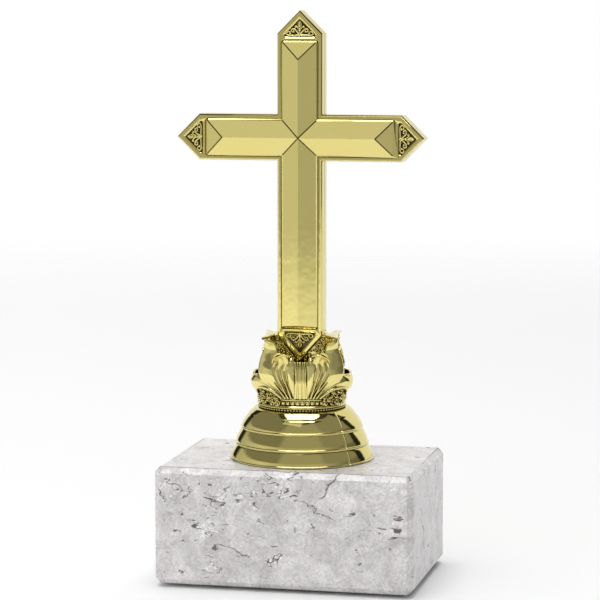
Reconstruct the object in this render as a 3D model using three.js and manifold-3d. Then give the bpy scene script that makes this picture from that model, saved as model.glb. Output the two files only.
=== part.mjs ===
// Altar cross on a marble block: a gilt cross with bevelled panels and filigree ends stands in a leaf
// capital, on a ring and a three-step foot, and one threaded rod clamps the whole stack to the stone.
// Millimetres, +Z up, the front looks along -Y, origin at the centre of the standing plane.
import * as THREE from 'three';
import { mergeVertices } from 'three/addons/utils/BufferGeometryUtils.js';
import Module from 'manifold-3d';

const wasm = await Module();
wasm.setup();

// ---- Driving dimensions ----
const PAD = { radius: 6, thickness: 1, inset: 12 };
const BLOCK = { width: 80, depth: 55, height: 36, chamfer: 1.8 };
const BORE = { radius: 3.5, recessRadius: 8.5, recessDepth: 12 };
const ROD = { radius: 2.9, tail: 2, top: 64.5 };
const NUT = { acrossFlats: 10, height: 5, holeRadius: 3.05 };
const WASHER = { radius: 7, holeRadius: 3.2, thickness: 1.4 };
const FOOT = { radius: 22.3, height: 16, topRadius: 13.8, wall: 1.7, bossRadius: 6, boreRadius: 3.3 };
const RING = { radius: 14.2, height: 4 };
const CROSS = {
  centre: 136, // height of the crossing above the standing plane
  arm: 38.6, // crossing to the point of the head and of each side arm
  shaft: 67.7, // crossing to the lower point
  halfWidth: 7.05,
  halfThickness: 3.5,
};
const SHELL = { wall: 1.4, cavity: 1.8, seam: 0.05 };
const PANEL = { halfWidth: 5.2, endGap: 9.6, lip: 0.45, seat: 0.9, rise: 0.4, ridge: 2.4, clearance: 0.12 };
const POCKET = { tipGap: 2.55, baseGap: 8, halfWidth: 4.75, depth: 0.9 };
const FILIGREE = { thickness: 0.55, clearance: 0.12 };
const PEG = { radius: 0.9, bossRadius: 1.7, length: 1.1, clearance: 0.12 };
const SEAT = { halfWidth: 8.2, halfDepth: 2.6, gap: 0.3 };
const TONGUE = { halfWidth: 4.2, halfDepth: 1.3, top: 88, clearance: 0.2 };
const ROUND = 40; // facets round a turned piece

// ---- Heights worked out from the driving dimensions ----
const stoneTop = PAD.thickness + BLOCK.height;
const ringBase = stoneTop + FOOT.height;
const capitalBase = ringBase + RING.height;
const recessTop = PAD.thickness + BORE.recessDepth;
const nutBase = recessTop - WASHER.thickness - NUT.height;
const cupTop = capitalBase + 10.4;

// ---- Materials ----
function paint(color, roughness, metalness) {
  return new THREE.MeshStandardMaterial({ color, roughness, metalness });
}
const gilt = paint(0xcdbb68, 0.18, 1);
const marble = paint(0xd2cfce, 0.3, 0);
const felt = paint(0x24402c, 0.95, 0);
const zinc = paint(0xa9adb0, 0.4, 1);

// ---- Solids ----
function solid(geometry) {
  const bare = geometry.index ? geometry.toNonIndexed() : geometry.clone();
  bare.deleteAttribute('normal');
  bare.deleteAttribute('uv');
  const merged = mergeVertices(bare, 1e-4);
  return new wasm.Manifold(new wasm.Mesh({
    numProp: 3,
    vertProperties: merged.getAttribute('position').array,
    triVerts: new Uint32Array(merged.index.array),
  }));
}

function geometryOf(body) {
  const mesh = body.getMesh();
  const geometry = new THREE.BufferGeometry();
  geometry.setAttribute('position', new THREE.BufferAttribute(mesh.vertProperties, 3));
  geometry.setIndex(new THREE.BufferAttribute(mesh.triVerts, 1));
  geometry.computeVertexNormals();
  return geometry;
}

const joined = (bodies) => bodies.reduce((sum, body) => sum.add(body));

// An upright cylinder from z = low to z = high.
function post(radius, low, high, x = 0, y = 0, sides = ROUND) {
  return new THREE.CylinderGeometry(radius, radius, high - low, sides)
    .rotateX(Math.PI / 2)
    .translate(x, y, (low + high) / 2);
}

// A box given by its two corners.
function block(low, high) {
  const size = high.map((value, i) => value - low[i]);
  return new THREE.BoxGeometry(...size).translate(...low.map((value, i) => value + size[i] / 2));
}

// A closed profile of [radius, height] points turned round the Z axis.
function turned(profile, sides = ROUND) {
  const points = [...profile, profile[0]].map(([radius, height]) => new THREE.Vector2(radius, height));
  return new THREE.LatheGeometry(points, sides).rotateX(Math.PI / 2);
}

function outline(points, holes = []) {
  const shape = new THREE.Shape(points.map(([x, y]) => new THREE.Vector2(x, y)));
  shape.holes = holes;
  return shape;
}

function slab(shape, low, high) {
  return new THREE.ExtrudeGeometry(shape, { depth: high - low, bevelEnabled: false, curveSegments: 5 })
    .translate(0, 0, low);
}

// ---- The stone and what stands under it ----
function marbleBlock() {
  const { width, depth, height, chamfer } = BLOCK;
  const [x, y] = [width / 2 - chamfer, depth / 2 - chamfer];
  const cut = (Math.SQRT2 - 1) * chamfer;
  const plan = outline([
    [x, cut - y], [x, y - cut], [x - cut, y], [cut - x, y],
    [-x, y - cut], [-x, cut - y], [cut - x, -y], [x - cut, -y],
  ]);
  const stone = new THREE.ExtrudeGeometry(plan, {
    depth: height - 2 * chamfer,
    bevelThickness: chamfer,
    bevelSize: chamfer,
    bevelSegments: 1,
  }).translate(0, 0, PAD.thickness + chamfer);
  return solid(stone)
    .subtract(solid(post(BORE.radius, 0, stoneTop + 1)))
    .subtract(solid(post(BORE.recessRadius, 0, recessTop)));
}

function hexNut(low) {
  const corner = NUT.acrossFlats / Math.sqrt(3);
  const hexagon = post(corner, low, low + NUT.height, 0, 0, 6);
  return solid(hexagon).subtract(solid(post(NUT.holeRadius, low - 1, low + NUT.height + 1, 0, 0, 32)));
}

function washer() {
  const { radius, holeRadius, thickness } = WASHER;
  const low = recessTop - thickness;
  return turned([[holeRadius, low], [radius, low], [radius, recessTop], [holeRadius, recessTop]]);
}

// ---- The three-step foot and the ring on it ----
// The outer line of one step, from its lip up to the neck under the next step.
function step(lipRadius, neckRadius, low, high) {
  const lip = 0.45;
  return [
    [lipRadius - 0.25, low],
    [lipRadius, low + lip / 2],
    [lipRadius - 0.15, low + lip],
    [(lipRadius + neckRadius) / 2 + 0.12, (low + lip + high) / 2],
    [neckRadius, high],
  ];
}

function steppedFoot() {
  const { radius, height, topRadius, wall, bossRadius, boreRadius } = FOOT;
  const top = stoneTop + height;
  const roof = top - wall;
  const outer = [
    ...step(radius, radius - 2, stoneTop, stoneTop + 4.6),
    ...step(radius - 1.6, radius - 3.9, stoneTop + 4.8, stoneTop + 9.5),
    ...step(radius - 3.5, radius - 5.9, stoneTop + 9.7, stoneTop + 13.9),
    [radius - 6.5, top - 0.9],
    [radius - 7.4, top - 0.25],
    [topRadius, top],
  ];
  const inner = [
    [topRadius - 1, roof],
    [radius - 7.2 - wall, top - 2.6],
    [radius - wall - 0.4, stoneTop],
  ];
  return turned([
    [boreRadius, stoneTop],
    [bossRadius, stoneTop],
    [bossRadius, roof],
    ...inner,
    ...outer,
    [boreRadius, top],
  ]);
}

// A bead, a hollow and a second bead between the foot and the leaves.
function collarRing() {
  const { radius, height } = RING;
  const bead = (centre, out, size) => [-65, 0, 65].map((degrees) => {
    const turn = THREE.MathUtils.degToRad(degrees);
    return [out - size + size * Math.cos(turn), centre + size * Math.sin(turn)];
  });
  return turned([
    [FOOT.boreRadius, ringBase],
    [radius - 0.8, ringBase],
    ...bead(ringBase + 0.75, radius, 0.7),
    [radius - 1.3, ringBase + 1.7],
    [radius - 1.3, ringBase + 2.2],
    ...bead(ringBase + 2.85, radius - 0.5, 0.6),
    [radius - 1.2, ringBase + height],
    [FOOT.boreRadius, ringBase + height],
  ]);
}

// ---- The leaf capital ----
// Each leaf runs through stations of [degrees from the front, radius, height, half width].
const LEAVES = {
  outer: [
    [20, 12.2, 0.4, 1.6], [33, 13.0, 4.5, 3.0], [46, 13.4, 9, 4.5], [53, 11.9, 13, 4.3],
    [56, 10.9, 16.5, 3.9], [57, 11.6, 19.4, 3.4], [58, 13.2, 20.5, 2.5], [58, 14.4, 18.9, 0.4],
  ],
  curl: [
    [7, 12.4, 0.4, 1.0], [14, 12.8, 4, 1.9], [21, 12.3, 8, 2.7], [26, 11.9, 11.4, 3.0],
    [28, 12.8, 14.1, 2.7], [29, 14.3, 14.5, 1.9], [31, 15.2, 12.6, 0.35],
  ],
  low: [
    [24, 12.9, 0.4, 0.9], [42, 14.1, 2, 1.8], [62, 15.3, 3.6, 2.4], [77, 15.2, 5.2, 1.9],
    [84, 13.6, 7.2, 0.3],
  ],
};
const STEM = [[0, 12.6, 0.4, 1.7], [0, 11.6, 5, 1.4], [0, 9, 8.6, 1.2], [0, 5.6, 10.8, 0.9]];
const LEAF = { thickness: 1.1, along: 7, across: 2, cup: 0.16, turn: 11 };

function onCapital([degrees, radius, height]) {
  const turn = THREE.MathUtils.degToRad(degrees + LEAF.turn);
  return new THREE.Vector3(radius * Math.sin(turn), -radius * Math.cos(turn), capitalBase + height);
}

// A box bent along its stations: it widens, curls outward at the tip and is cupped across.
function leaf(stations) {
  const spine = new THREE.CatmullRomCurve3(stations.map(onCapital));
  const widths = new THREE.CatmullRomCurve3(stations.map((s, i) => new THREE.Vector3(i, s[3], 0)));
  const frames = [];
  const outward = onCapital(stations[0]).setZ(0).normalize();
  for (let i = 0; i <= LEAF.along; i++) {
    const tangent = spine.getTangent(i / LEAF.along);
    outward.addScaledVector(tangent, -outward.dot(tangent)).normalize();
    const side = new THREE.Vector3().crossVectors(tangent, outward);
    frames.push({ point: spine.getPoint(i / LEAF.along), outward: outward.clone(), side });
  }
  const geometry = new THREE.BoxGeometry(2, LEAF.along, LEAF.thickness, LEAF.across, LEAF.along, 1);
  const position = geometry.getAttribute('position');
  for (let i = 0; i < position.count; i++) {
    const station = Math.round(position.getY(i) + LEAF.along / 2);
    const { point, outward: normal, side } = frames[station];
    const halfWidth = widths.getPoint(station / LEAF.along).y;
    const across = position.getX(i);
    const lift = position.getZ(i) - LEAF.cup * halfWidth * across * across;
    const place = point.clone().addScaledVector(side, across * halfWidth).addScaledVector(normal, lift);
    position.setXYZ(i, place.x, place.y, place.z);
  }
  return geometry;
}

const mirrored = (stations) => stations.map(([degrees, ...rest]) => [-degrees, ...rest]);
const behind = (stations) => stations.map(([degrees, ...rest]) => [degrees + 180, ...rest]);

// The rounded hood at the foot of each low leaf.
function hood(degrees) {
  return new THREE.SphereGeometry(1, 10, 6)
    .scale(3, 1.7, 2.3)
    .rotateZ(THREE.MathUtils.degToRad(degrees + LEAF.turn))
    .translate(...onCapital([degrees, 12.7, 2.3]).toArray());
}

// The outline of the cross, grown outward by the given amount.
function crossOutline(grow = 0) {
  const w = CROSS.halfWidth + grow;
  const arm = CROSS.arm + grow * Math.SQRT2;
  const shaft = CROSS.shaft + grow * Math.SQRT2;
  return outline([
    [0, -shaft], [w, -shaft + w], [w, -w], [arm - w, -w], [arm, 0], [arm - w, w], [w, w], [w, arm - w],
    [0, arm], [-w, arm - w], [-w, w], [-arm + w, w], [-arm, 0], [-arm + w, -w], [-w, -w], [-w, -shaft + w],
  ]);
}

// Stands a shape drawn flat, front side up, at the height of the crossing.
const upright = (geometry) => geometry.rotateX(Math.PI / 2).translate(0, 0, CROSS.centre);

function leafCapital() {
  const cup = turned([
    [3.4, capitalBase], [12.9, capitalBase], [12.8, capitalBase + 4.6], [11.8, capitalBase + 8.6],
    [10, cupTop], [3.4, cupTop - 0.6],
  ]);
  const { halfWidth: x, halfDepth: y, gap } = SEAT;
  const seat = solid(block([-x, -y, cupTop - 2.4], [x, y, capitalBase + 18.2]))
    .subtract(solid(upright(slab(crossOutline(gap), -9, 9))));
  const tongue = block(
    [-TONGUE.halfWidth, -TONGUE.halfDepth, cupTop - 2.4],
    [TONGUE.halfWidth, TONGUE.halfDepth, TONGUE.top],
  );
  const plug = post(4, ROD.top + 0.4, cupTop - 0.4);
  const halfRound = Object.values(LEAVES).flatMap((stations) => [stations, mirrored(stations)]);
  const leaves = [...halfRound, STEM].flatMap((stations) => [stations, behind(stations)]).map(leaf);
  const hoods = [46, -46, 134, -134].map(hood);
  const body = joined([seat, ...[cup, tongue, plug, ...leaves, ...hoods].map(solid)]);
  const nutPocket = post((NUT.acrossFlats + 0.4) / Math.sqrt(3), capitalBase - 1, capitalBase + 6.3, 0, 0, 6);
  const rodHole = post(FOOT.boreRadius, capitalBase - 1, ROD.top + 0.4, 0, 0, 32);
  const below = block([-30, -30, capitalBase - 10], [30, 30, capitalBase]);
  return body.subtract(solid(nutPocket)).subtract(solid(rodHole)).subtract(solid(below));
}

// ---- The cross: two shells, each with a bevelled panel and four filigree ends ----
// Everything here is drawn flat, with the front side up and z = 0 at the middle of the thickness.
const face = CROSS.halfThickness;
const ARMS = [
  { name: 'head', turn: 0, reach: CROSS.arm },
  { name: 'left_arm', turn: Math.PI / 2, reach: CROSS.arm },
  { name: 'foot', turn: Math.PI, reach: CROSS.shaft },
  { name: 'right_arm', turn: -Math.PI / 2, reach: CROSS.arm },
];
const PEG_PLACES = [[0, 24], [-24, 0], [24, 0], [0, -34]];

// A bar of the panel from y = -down to y = up, as a flat plate with a hipped roof on it.
function roofBar(halfWidth, down, up, low, eaves, ridge) {
  const end = outline([
    [-halfWidth, low], [halfWidth, low], [halfWidth, eaves], [0, ridge], [-halfWidth, eaves],
  ]);
  const side = outline([
    [-down, low], [up, low], [up, eaves], [up - halfWidth, ridge], [halfWidth - down, ridge], [-down, eaves],
  ]);
  const along = slab(end, -up, down).rotateX(Math.PI / 2);
  const across = slab(side, -halfWidth, halfWidth).rotateX(Math.PI / 2).rotateZ(Math.PI / 2);
  return solid(along).intersect(solid(across));
}

// The bevelled cross that lies in the recess; grow widens it and the roof can be left off.
function panelBody(grow, low, eaves, ridge) {
  const w = PANEL.halfWidth + PANEL.lip + grow;
  const arm = CROSS.arm - PANEL.endGap + PANEL.lip + grow;
  const shaft = CROSS.shaft - PANEL.endGap + PANEL.lip + grow;
  const plate = joined([
    solid(block([-w, -shaft, low], [w, arm, eaves])),
    solid(block([-arm, -w, low], [arm, w, eaves])),
  ]);
  if (ridge === undefined) return plate;
  const [p, short, long] = [PANEL.halfWidth, CROSS.arm - PANEL.endGap, CROSS.shaft - PANEL.endGap];
  const uprightRoof = roofBar(p, long, short, low, eaves, ridge);
  const armRoof = solid(geometryOf(roofBar(p, short, short, low, eaves, ridge)).rotateZ(Math.PI / 2));
  return joined([plate, uprightRoof, armRoof]);
}

// The gable of a filigree end on the head, shrunk by the given amount.
function gable(reach, shrink = 0) {
  const apex = reach - POCKET.tipGap - shrink * Math.SQRT2;
  const base = reach - POCKET.baseGap + shrink;
  const side = POCKET.halfWidth - shrink;
  const points = [[-side, base], [side, base], [side, apex - side], [0, apex], [-side, apex - side]];
  return { apex, base, side, points };
}

function circleHole(x, y, radius) {
  return new THREE.Path().absellipse(x, y, radius, radius, 0, Math.PI * 2, true);
}

function filigree(reach) {
  const { apex, base, side, points } = gable(reach, FILIGREE.clearance);
  const low = face - POCKET.depth;
  const holes = [
    circleHole(0, apex - 2.1, 0.55),
    circleHole(-side * 0.6, base + 1.3, 0.7),
    circleHole(side * 0.6, base + 1.3, 0.7),
    circleHole(0, base + 1.2, 0.65),
  ];
  return slab(outline(points, holes), low, low + FILIGREE.thickness);
}

// One half of the cross: pegs on the front half, sockets in the back half.
function crossShell(hasPegs) {
  const inside = solid(slab(crossOutline(-SHELL.wall), -1, SHELL.cavity));
  const bosses = PEG_PLACES
    .map(([x, y]) => solid(post(PEG.bossRadius, SHELL.seam, SHELL.cavity + 0.2, x, y, 20)));
  let shell = joined([solid(slab(crossOutline(), SHELL.seam, face)).subtract(inside), ...bosses]);
  shell = shell.subtract(panelBody(PANEL.clearance, face - PANEL.seat, face + 1));
  for (const { turn, reach } of ARMS) {
    const pocket = slab(outline(gable(reach).points), face - POCKET.depth, face + 1).rotateZ(turn);
    shell = shell.subtract(solid(pocket));
  }
  for (const [x, y] of PEG_PLACES) {
    const peg = post(PEG.radius, -PEG.length, SHELL.seam + 0.1, x, y, 16);
    const socket = post(PEG.radius + PEG.clearance, -1, PEG.length + PEG.clearance, x, y, 16);
    shell = hasPegs ? shell.add(solid(peg)) : shell.subtract(solid(socket));
  }
  const { halfWidth: x, halfDepth: y, clearance } = TONGUE;
  const slotTop = TONGUE.top - CROSS.centre + clearance;
  const slot = block([-x - clearance, -CROSS.shaft - 1, -1], [x + clearance, slotTop, y + clearance]);
  return shell.subtract(solid(slot));
}

const bevelledPanel = () => panelBody(0, face - PANEL.seat, face + PANEL.rise, face + PANEL.ridge);

// ---- Assembly ----
const altarCross = new THREE.Group();

function add(group, name, shape, material) {
  const mesh = new THREE.Mesh(shape.isBufferGeometry ? shape : geometryOf(shape), material);
  mesh.name = name;
  group.add(mesh);
  return mesh;
}

for (const [side, x] of [['left', -1], ['right', 1]]) {
  for (const [end, y] of [['front', -1], ['rear', 1]]) {
    const disc = post(PAD.radius, 0, PAD.thickness, 0, 0, 32);
    const pad = add(altarCross, `felt_pad_${end}_${side}`, disc, felt);
    pad.position.set(x * (BLOCK.width / 2 - PAD.inset), y * (BLOCK.depth / 2 - PAD.inset), 0);
  }
}
add(altarCross, 'marble_block', marbleBlock(), marble);
add(altarCross, 'base_washer', washer(), zinc);
add(altarCross, 'base_nut', hexNut(nutBase), zinc);
add(altarCross, 'threaded_rod', post(ROD.radius, nutBase - ROD.tail, ROD.top, 0, 0, 32), zinc);
add(altarCross, 'captive_nut', hexNut(capitalBase + 1.2), zinc);
add(altarCross, 'stepped_foot', steppedFoot(), gilt);
add(altarCross, 'collar_ring', collarRing(), gilt);
add(altarCross, 'leaf_capital', leafCapital(), gilt);

for (const side of ['front', 'back']) {
  const half = new THREE.Group();
  half.position.z = CROSS.centre;
  half.rotation.set(Math.PI / 2, 0, side === 'front' ? 0 : Math.PI, 'ZYX');
  altarCross.add(half);
  add(half, `cross_${side}_shell`, crossShell(side === 'front'), gilt);
  add(half, `${side}_bevelled_panel`, bevelledPanel(), gilt);
  for (const { name, turn, reach } of ARMS) {
    add(half, `${side}_filigree_${name}`, filigree(reach), gilt).rotation.z = turn;
  }
}

export default altarCross;
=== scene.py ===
import math
import random
import bpy
from mathutils import Matrix, Vector, noise
from mathutils.geometry import tessellate_polygon


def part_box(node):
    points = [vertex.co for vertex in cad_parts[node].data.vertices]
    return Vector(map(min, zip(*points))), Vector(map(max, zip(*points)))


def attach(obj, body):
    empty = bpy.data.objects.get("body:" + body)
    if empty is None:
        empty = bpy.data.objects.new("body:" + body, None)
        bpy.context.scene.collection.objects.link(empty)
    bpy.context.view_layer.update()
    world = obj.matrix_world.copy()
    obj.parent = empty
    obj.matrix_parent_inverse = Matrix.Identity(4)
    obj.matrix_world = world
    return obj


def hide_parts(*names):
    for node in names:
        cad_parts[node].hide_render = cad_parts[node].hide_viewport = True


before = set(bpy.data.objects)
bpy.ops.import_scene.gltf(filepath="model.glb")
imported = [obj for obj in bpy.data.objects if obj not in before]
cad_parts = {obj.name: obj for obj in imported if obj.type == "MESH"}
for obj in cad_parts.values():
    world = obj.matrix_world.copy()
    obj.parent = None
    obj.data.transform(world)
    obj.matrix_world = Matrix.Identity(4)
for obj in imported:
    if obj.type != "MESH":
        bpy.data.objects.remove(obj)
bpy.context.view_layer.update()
scene = bpy.context.scene
mm = 0.001
up = Vector((0, 0, 1))
print("frame:", len(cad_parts), "nodes")


# gilt: thin bright plating over a smooth casting
def giltMaterial(name, tone, paintedShadeTone, paintedShadeReach, polish):
    mat = bpy.data.materials.new(name)
    mat.use_nodes = True
    nodes, links = mat.node_tree.nodes, mat.node_tree.links
    nodes.clear()

    place = nodes.new("ShaderNodeTexCoord")
    place.label = "place on the casting"
    place.location = (-1500, 100)
    inMm = nodes.new("ShaderNodeMapping")
    inMm.label = "metres to millimetres"
    inMm.location = (-1300, 100)
    inMm.inputs["Scale"].default_value = (1000, 1000, 1000)
    links.new(place.outputs["Object"], inMm.inputs["Vector"])

    # colour of the plating, and painted shade in the hollows
    colourFrame = nodes.new("NodeFrame")
    colourFrame.label = "plating colour and painted shade in the hollows"
    drift = nodes.new("ShaderNodeTexNoise")
    drift.label = "slow drift of tone"
    drift.location = (-1050, 480)
    drift.inputs["Scale"].default_value = 0.09
    drift.inputs["Detail"].default_value = 3
    toneMix = nodes.new("ShaderNodeMix")
    toneMix.label = "greener or yellower gold"
    toneMix.data_type = "RGBA"
    toneMix.location = (-800, 480)
    toneMix.inputs["A"].default_value = (*tone, 1)
    toneMix.inputs["B"].default_value = (tone[0] * 0.97, tone[1] * 0.96, tone[2] * 0.84, 1)
    # painted shade: ambient occlusion turns the gold brown in tight hollows, where shade falls
    hollow = nodes.new("ShaderNodeAmbientOcclusion")
    hollow.label = "how deep in a hollow"
    hollow.location = (-800, 250)
    hollow.samples = 8
    hollow.inputs["Distance"].default_value = paintedShadeReach * mm
    hollowRamp = nodes.new("ShaderNodeValToRGB")
    hollowRamp.label = "only the tight corners"
    hollowRamp.location = (-600, 250)
    hollowRamp.color_ramp.elements[0].position = 0.3
    hollowRamp.color_ramp.elements[1].position = 0.85
    paintedShadeMix = nodes.new("ShaderNodeMix")
    paintedShadeMix.label = "painted shade, brown gold in the hollows"
    paintedShadeMix.data_type = "RGBA"
    paintedShadeMix.location = (-300, 400)
    paintedShadeMix.inputs["A"].default_value = (*paintedShadeTone, 1)
    links.new(inMm.outputs["Vector"], drift.inputs["Vector"])
    links.new(drift.outputs["Fac"], toneMix.inputs["Factor"])
    links.new(hollow.outputs["AO"], hollowRamp.inputs["Fac"])
    links.new(hollowRamp.outputs["Color"], paintedShadeMix.inputs["Factor"])
    links.new(toneMix.outputs["Result"], paintedShadeMix.inputs["B"])
    for node in (drift, toneMix, hollow, hollowRamp, paintedShadeMix):
        node.parent = colourFrame

    # handling marks
    polishFrame = nodes.new("NodeFrame")
    polishFrame.label = "polish and handling"
    smear = nodes.new("ShaderNodeTexNoise")
    smear.label = "soft smears"
    smear.location = (-1050, -60)
    smear.inputs["Scale"].default_value = 0.22
    smear.inputs["Detail"].default_value = 5
    smear.inputs["Distortion"].default_value = 0.8
    smearRange = nodes.new("ShaderNodeMapRange")
    smearRange.label = "mirror to slight haze"
    smearRange.location = (-800, -60)
    smearRange.inputs["From Min"].default_value = 0.35
    smearRange.inputs["From Max"].default_value = 0.75
    smearRange.inputs["To Min"].default_value = polish
    smearRange.inputs["To Max"].default_value = polish + 0.06
    links.new(inMm.outputs["Vector"], smear.inputs["Vector"])
    links.new(smear.outputs["Fac"], smearRange.inputs["Value"])
    for node in (smear, smearRange):
        node.parent = polishFrame

    # surface relief
    reliefFrame = nodes.new("NodeFrame")
    reliefFrame.label = "surface of the plating"
    peel = nodes.new("ShaderNodeTexNoise")
    peel.label = "gentle waviness of the casting"
    peel.location = (-1050, -350)
    peel.inputs["Scale"].default_value = 0.32
    peel.inputs["Detail"].default_value = 1
    peelBump = nodes.new("ShaderNodeBump")
    peelBump.label = "waviness"
    peelBump.location = (-800, -350)
    peelBump.inputs["Strength"].default_value = 0.5
    peelBump.inputs["Distance"].default_value = 0.05 * mm
    dust = nodes.new("ShaderNodeTexVoronoi")
    dust.label = "specks under the plating"
    dust.location = (-1050, -620)
    dust.inputs["Scale"].default_value = 0.28
    speck = nodes.new("ShaderNodeMapRange")
    speck.label = "keep only speck centres"
    speck.location = (-800, -620)
    speck.inputs["From Min"].default_value = 0.0
    speck.inputs["From Max"].default_value = 0.07
    speck.inputs["To Min"].default_value = 1.0
    speck.inputs["To Max"].default_value = 0.0
    speckBump = nodes.new("ShaderNodeBump")
    speckBump.label = "tiny raised specks"
    speckBump.location = (-550, -450)
    speckBump.inputs["Strength"].default_value = 0.6
    speckBump.inputs["Distance"].default_value = 0.04 * mm
    links.new(inMm.outputs["Vector"], peel.inputs["Vector"])
    links.new(peel.outputs["Fac"], peelBump.inputs["Height"])
    links.new(inMm.outputs["Vector"], dust.inputs["Vector"])
    links.new(dust.outputs["Distance"], speck.inputs["Value"])
    links.new(speck.outputs["Result"], speckBump.inputs["Height"])
    links.new(peelBump.outputs["Normal"], speckBump.inputs["Normal"])
    for node in (peel, peelBump, dust, speck, speckBump):
        node.parent = reliefFrame

    metal = nodes.new("ShaderNodeBsdfPrincipled")
    metal.label = "gilt metal"
    metal.location = (0, 100)
    metal.inputs["Metallic"].default_value = 1.0
    metal.inputs["IOR"].default_value = 1.5
    output = nodes.new("ShaderNodeOutputMaterial")
    output.label = "to the surface"
    output.location = (300, 100)
    links.new(paintedShadeMix.outputs["Result"], metal.inputs["Base Color"])
    links.new(smearRange.outputs["Result"], metal.inputs["Roughness"])
    links.new(speckBump.outputs["Normal"], metal.inputs["Normal"])
    links.new(metal.outputs["BSDF"], output.inputs["Surface"])
    return mat


# marble: pale warm grey, polished, with broken veins, cracks, flecks and pits
def marbleMaterial(clusters, cracks):
    mat = bpy.data.materials.new("paleMarble")
    mat.use_nodes = True
    nodes, links = mat.node_tree.nodes, mat.node_tree.links
    nodes.clear()

    place = nodes.new("ShaderNodeTexCoord")
    place.label = "place in the stone"
    place.location = (-2300, 0)
    inMm = nodes.new("ShaderNodeMapping")
    inMm.label = "metres to millimetres"
    inMm.location = (-2100, 0)
    inMm.inputs["Scale"].default_value = (1000, 1000, 1000)
    warp = nodes.new("ShaderNodeTexNoise")
    warp.label = "bends the veins"
    warp.location = (-1900, -200)
    warp.inputs["Scale"].default_value = 0.16
    warp.inputs["Detail"].default_value = 4
    centred = nodes.new("ShaderNodeVectorMath")
    centred.label = "bend both ways"
    centred.operation = "SUBTRACT"
    centred.location = (-1700, -200)
    centred.inputs[1].default_value = (0.5, 0.5, 0.5)
    bent = nodes.new("ShaderNodeVectorMath")
    bent.label = "bent place"
    bent.operation = "MULTIPLY_ADD"
    bent.location = (-1500, -200)
    bent.inputs[1].default_value = (7, 7, 7)
    links.new(place.outputs["Object"], inMm.inputs["Vector"])
    links.new(inMm.outputs["Vector"], warp.inputs["Vector"])
    links.new(warp.outputs["Color"], centred.inputs[0])
    links.new(centred.outputs["Vector"], bent.inputs[0])
    links.new(inMm.outputs["Vector"], bent.inputs[2])

    # ground colour
    groundFrame = nodes.new("NodeFrame")
    groundFrame.label = "mottled ground"
    cloud = nodes.new("ShaderNodeTexNoise")
    cloud.label = "broad clouds"
    cloud.location = (-1300, 700)
    cloud.inputs["Scale"].default_value = 0.09
    cloud.inputs["Detail"].default_value = 7
    cloud.inputs["Roughness"].default_value = 0.62
    cloud.inputs["Distortion"].default_value = 1.2
    cloudRamp = nodes.new("ShaderNodeValToRGB")
    cloudRamp.label = "grey to pale grey"
    cloudRamp.location = (-1100, 700)
    cloudRamp.color_ramp.elements[0].position = 0.32
    cloudRamp.color_ramp.elements[0].color = (0.56, 0.54, 0.54, 1)
    cloudRamp.color_ramp.elements[1].position = 0.68
    cloudRamp.color_ramp.elements[1].color = (0.86, 0.84, 0.84, 1)
    swirl = nodes.new("ShaderNodeTexNoise")
    swirl.label = "small swirls"
    swirl.location = (-1300, 430)
    swirl.inputs["Scale"].default_value = 0.42
    swirl.inputs["Detail"].default_value = 5
    swirl.inputs["Distortion"].default_value = 2.4
    swirlRamp = nodes.new("ShaderNodeValToRGB")
    swirlRamp.label = "lighter and darker swirls"
    swirlRamp.location = (-1100, 430)
    swirlRamp.color_ramp.elements[0].position = 0.3
    swirlRamp.color_ramp.elements[0].color = (0.8, 0.79, 0.79, 1)
    swirlRamp.color_ramp.elements[1].position = 0.7
    swirlRamp.color_ramp.elements[1].color = (1.12, 1.12, 1.12, 1)
    ground = nodes.new("ShaderNodeMix")
    ground.label = "clouds times swirls"
    ground.data_type = "RGBA"
    ground.blend_type = "MULTIPLY"
    ground.location = (-850, 600)
    ground.inputs["Factor"].default_value = 1.0
    grain = nodes.new("ShaderNodeTexNoise")
    grain.label = "fine crystals"
    grain.location = (-1300, 180)
    grain.inputs["Scale"].default_value = 1.6
    grain.inputs["Detail"].default_value = 3
    grainRamp = nodes.new("ShaderNodeValToRGB")
    grainRamp.label = "crystal sparkle"
    grainRamp.location = (-1100, 180)
    grainRamp.color_ramp.elements[0].position = 0.35
    grainRamp.color_ramp.elements[0].color = (0.9, 0.9, 0.9, 1)
    grainRamp.color_ramp.elements[1].position = 0.68
    grainRamp.color_ramp.elements[1].color = (1.08, 1.08, 1.08, 1)
    crystal = nodes.new("ShaderNodeMix")
    crystal.label = "crystals in the ground"
    crystal.data_type = "RGBA"
    crystal.blend_type = "MULTIPLY"
    crystal.location = (-650, 500)
    crystal.inputs["Factor"].default_value = 0.8
    links.new(inMm.outputs["Vector"], cloud.inputs["Vector"])
    links.new(cloud.outputs["Fac"], cloudRamp.inputs["Fac"])
    links.new(inMm.outputs["Vector"], swirl.inputs["Vector"])
    links.new(swirl.outputs["Fac"], swirlRamp.inputs["Fac"])
    links.new(cloudRamp.outputs["Color"], ground.inputs["A"])
    links.new(swirlRamp.outputs["Color"], ground.inputs["B"])
    links.new(inMm.outputs["Vector"], grain.inputs["Vector"])
    links.new(grain.outputs["Fac"], grainRamp.inputs["Fac"])
    links.new(ground.outputs["Result"], crystal.inputs["A"])
    links.new(grainRamp.outputs["Color"], crystal.inputs["B"])
    for node in (cloud, cloudRamp, swirl, swirlRamp, ground, grain, grainRamp, crystal):
        node.parent = groundFrame

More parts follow.
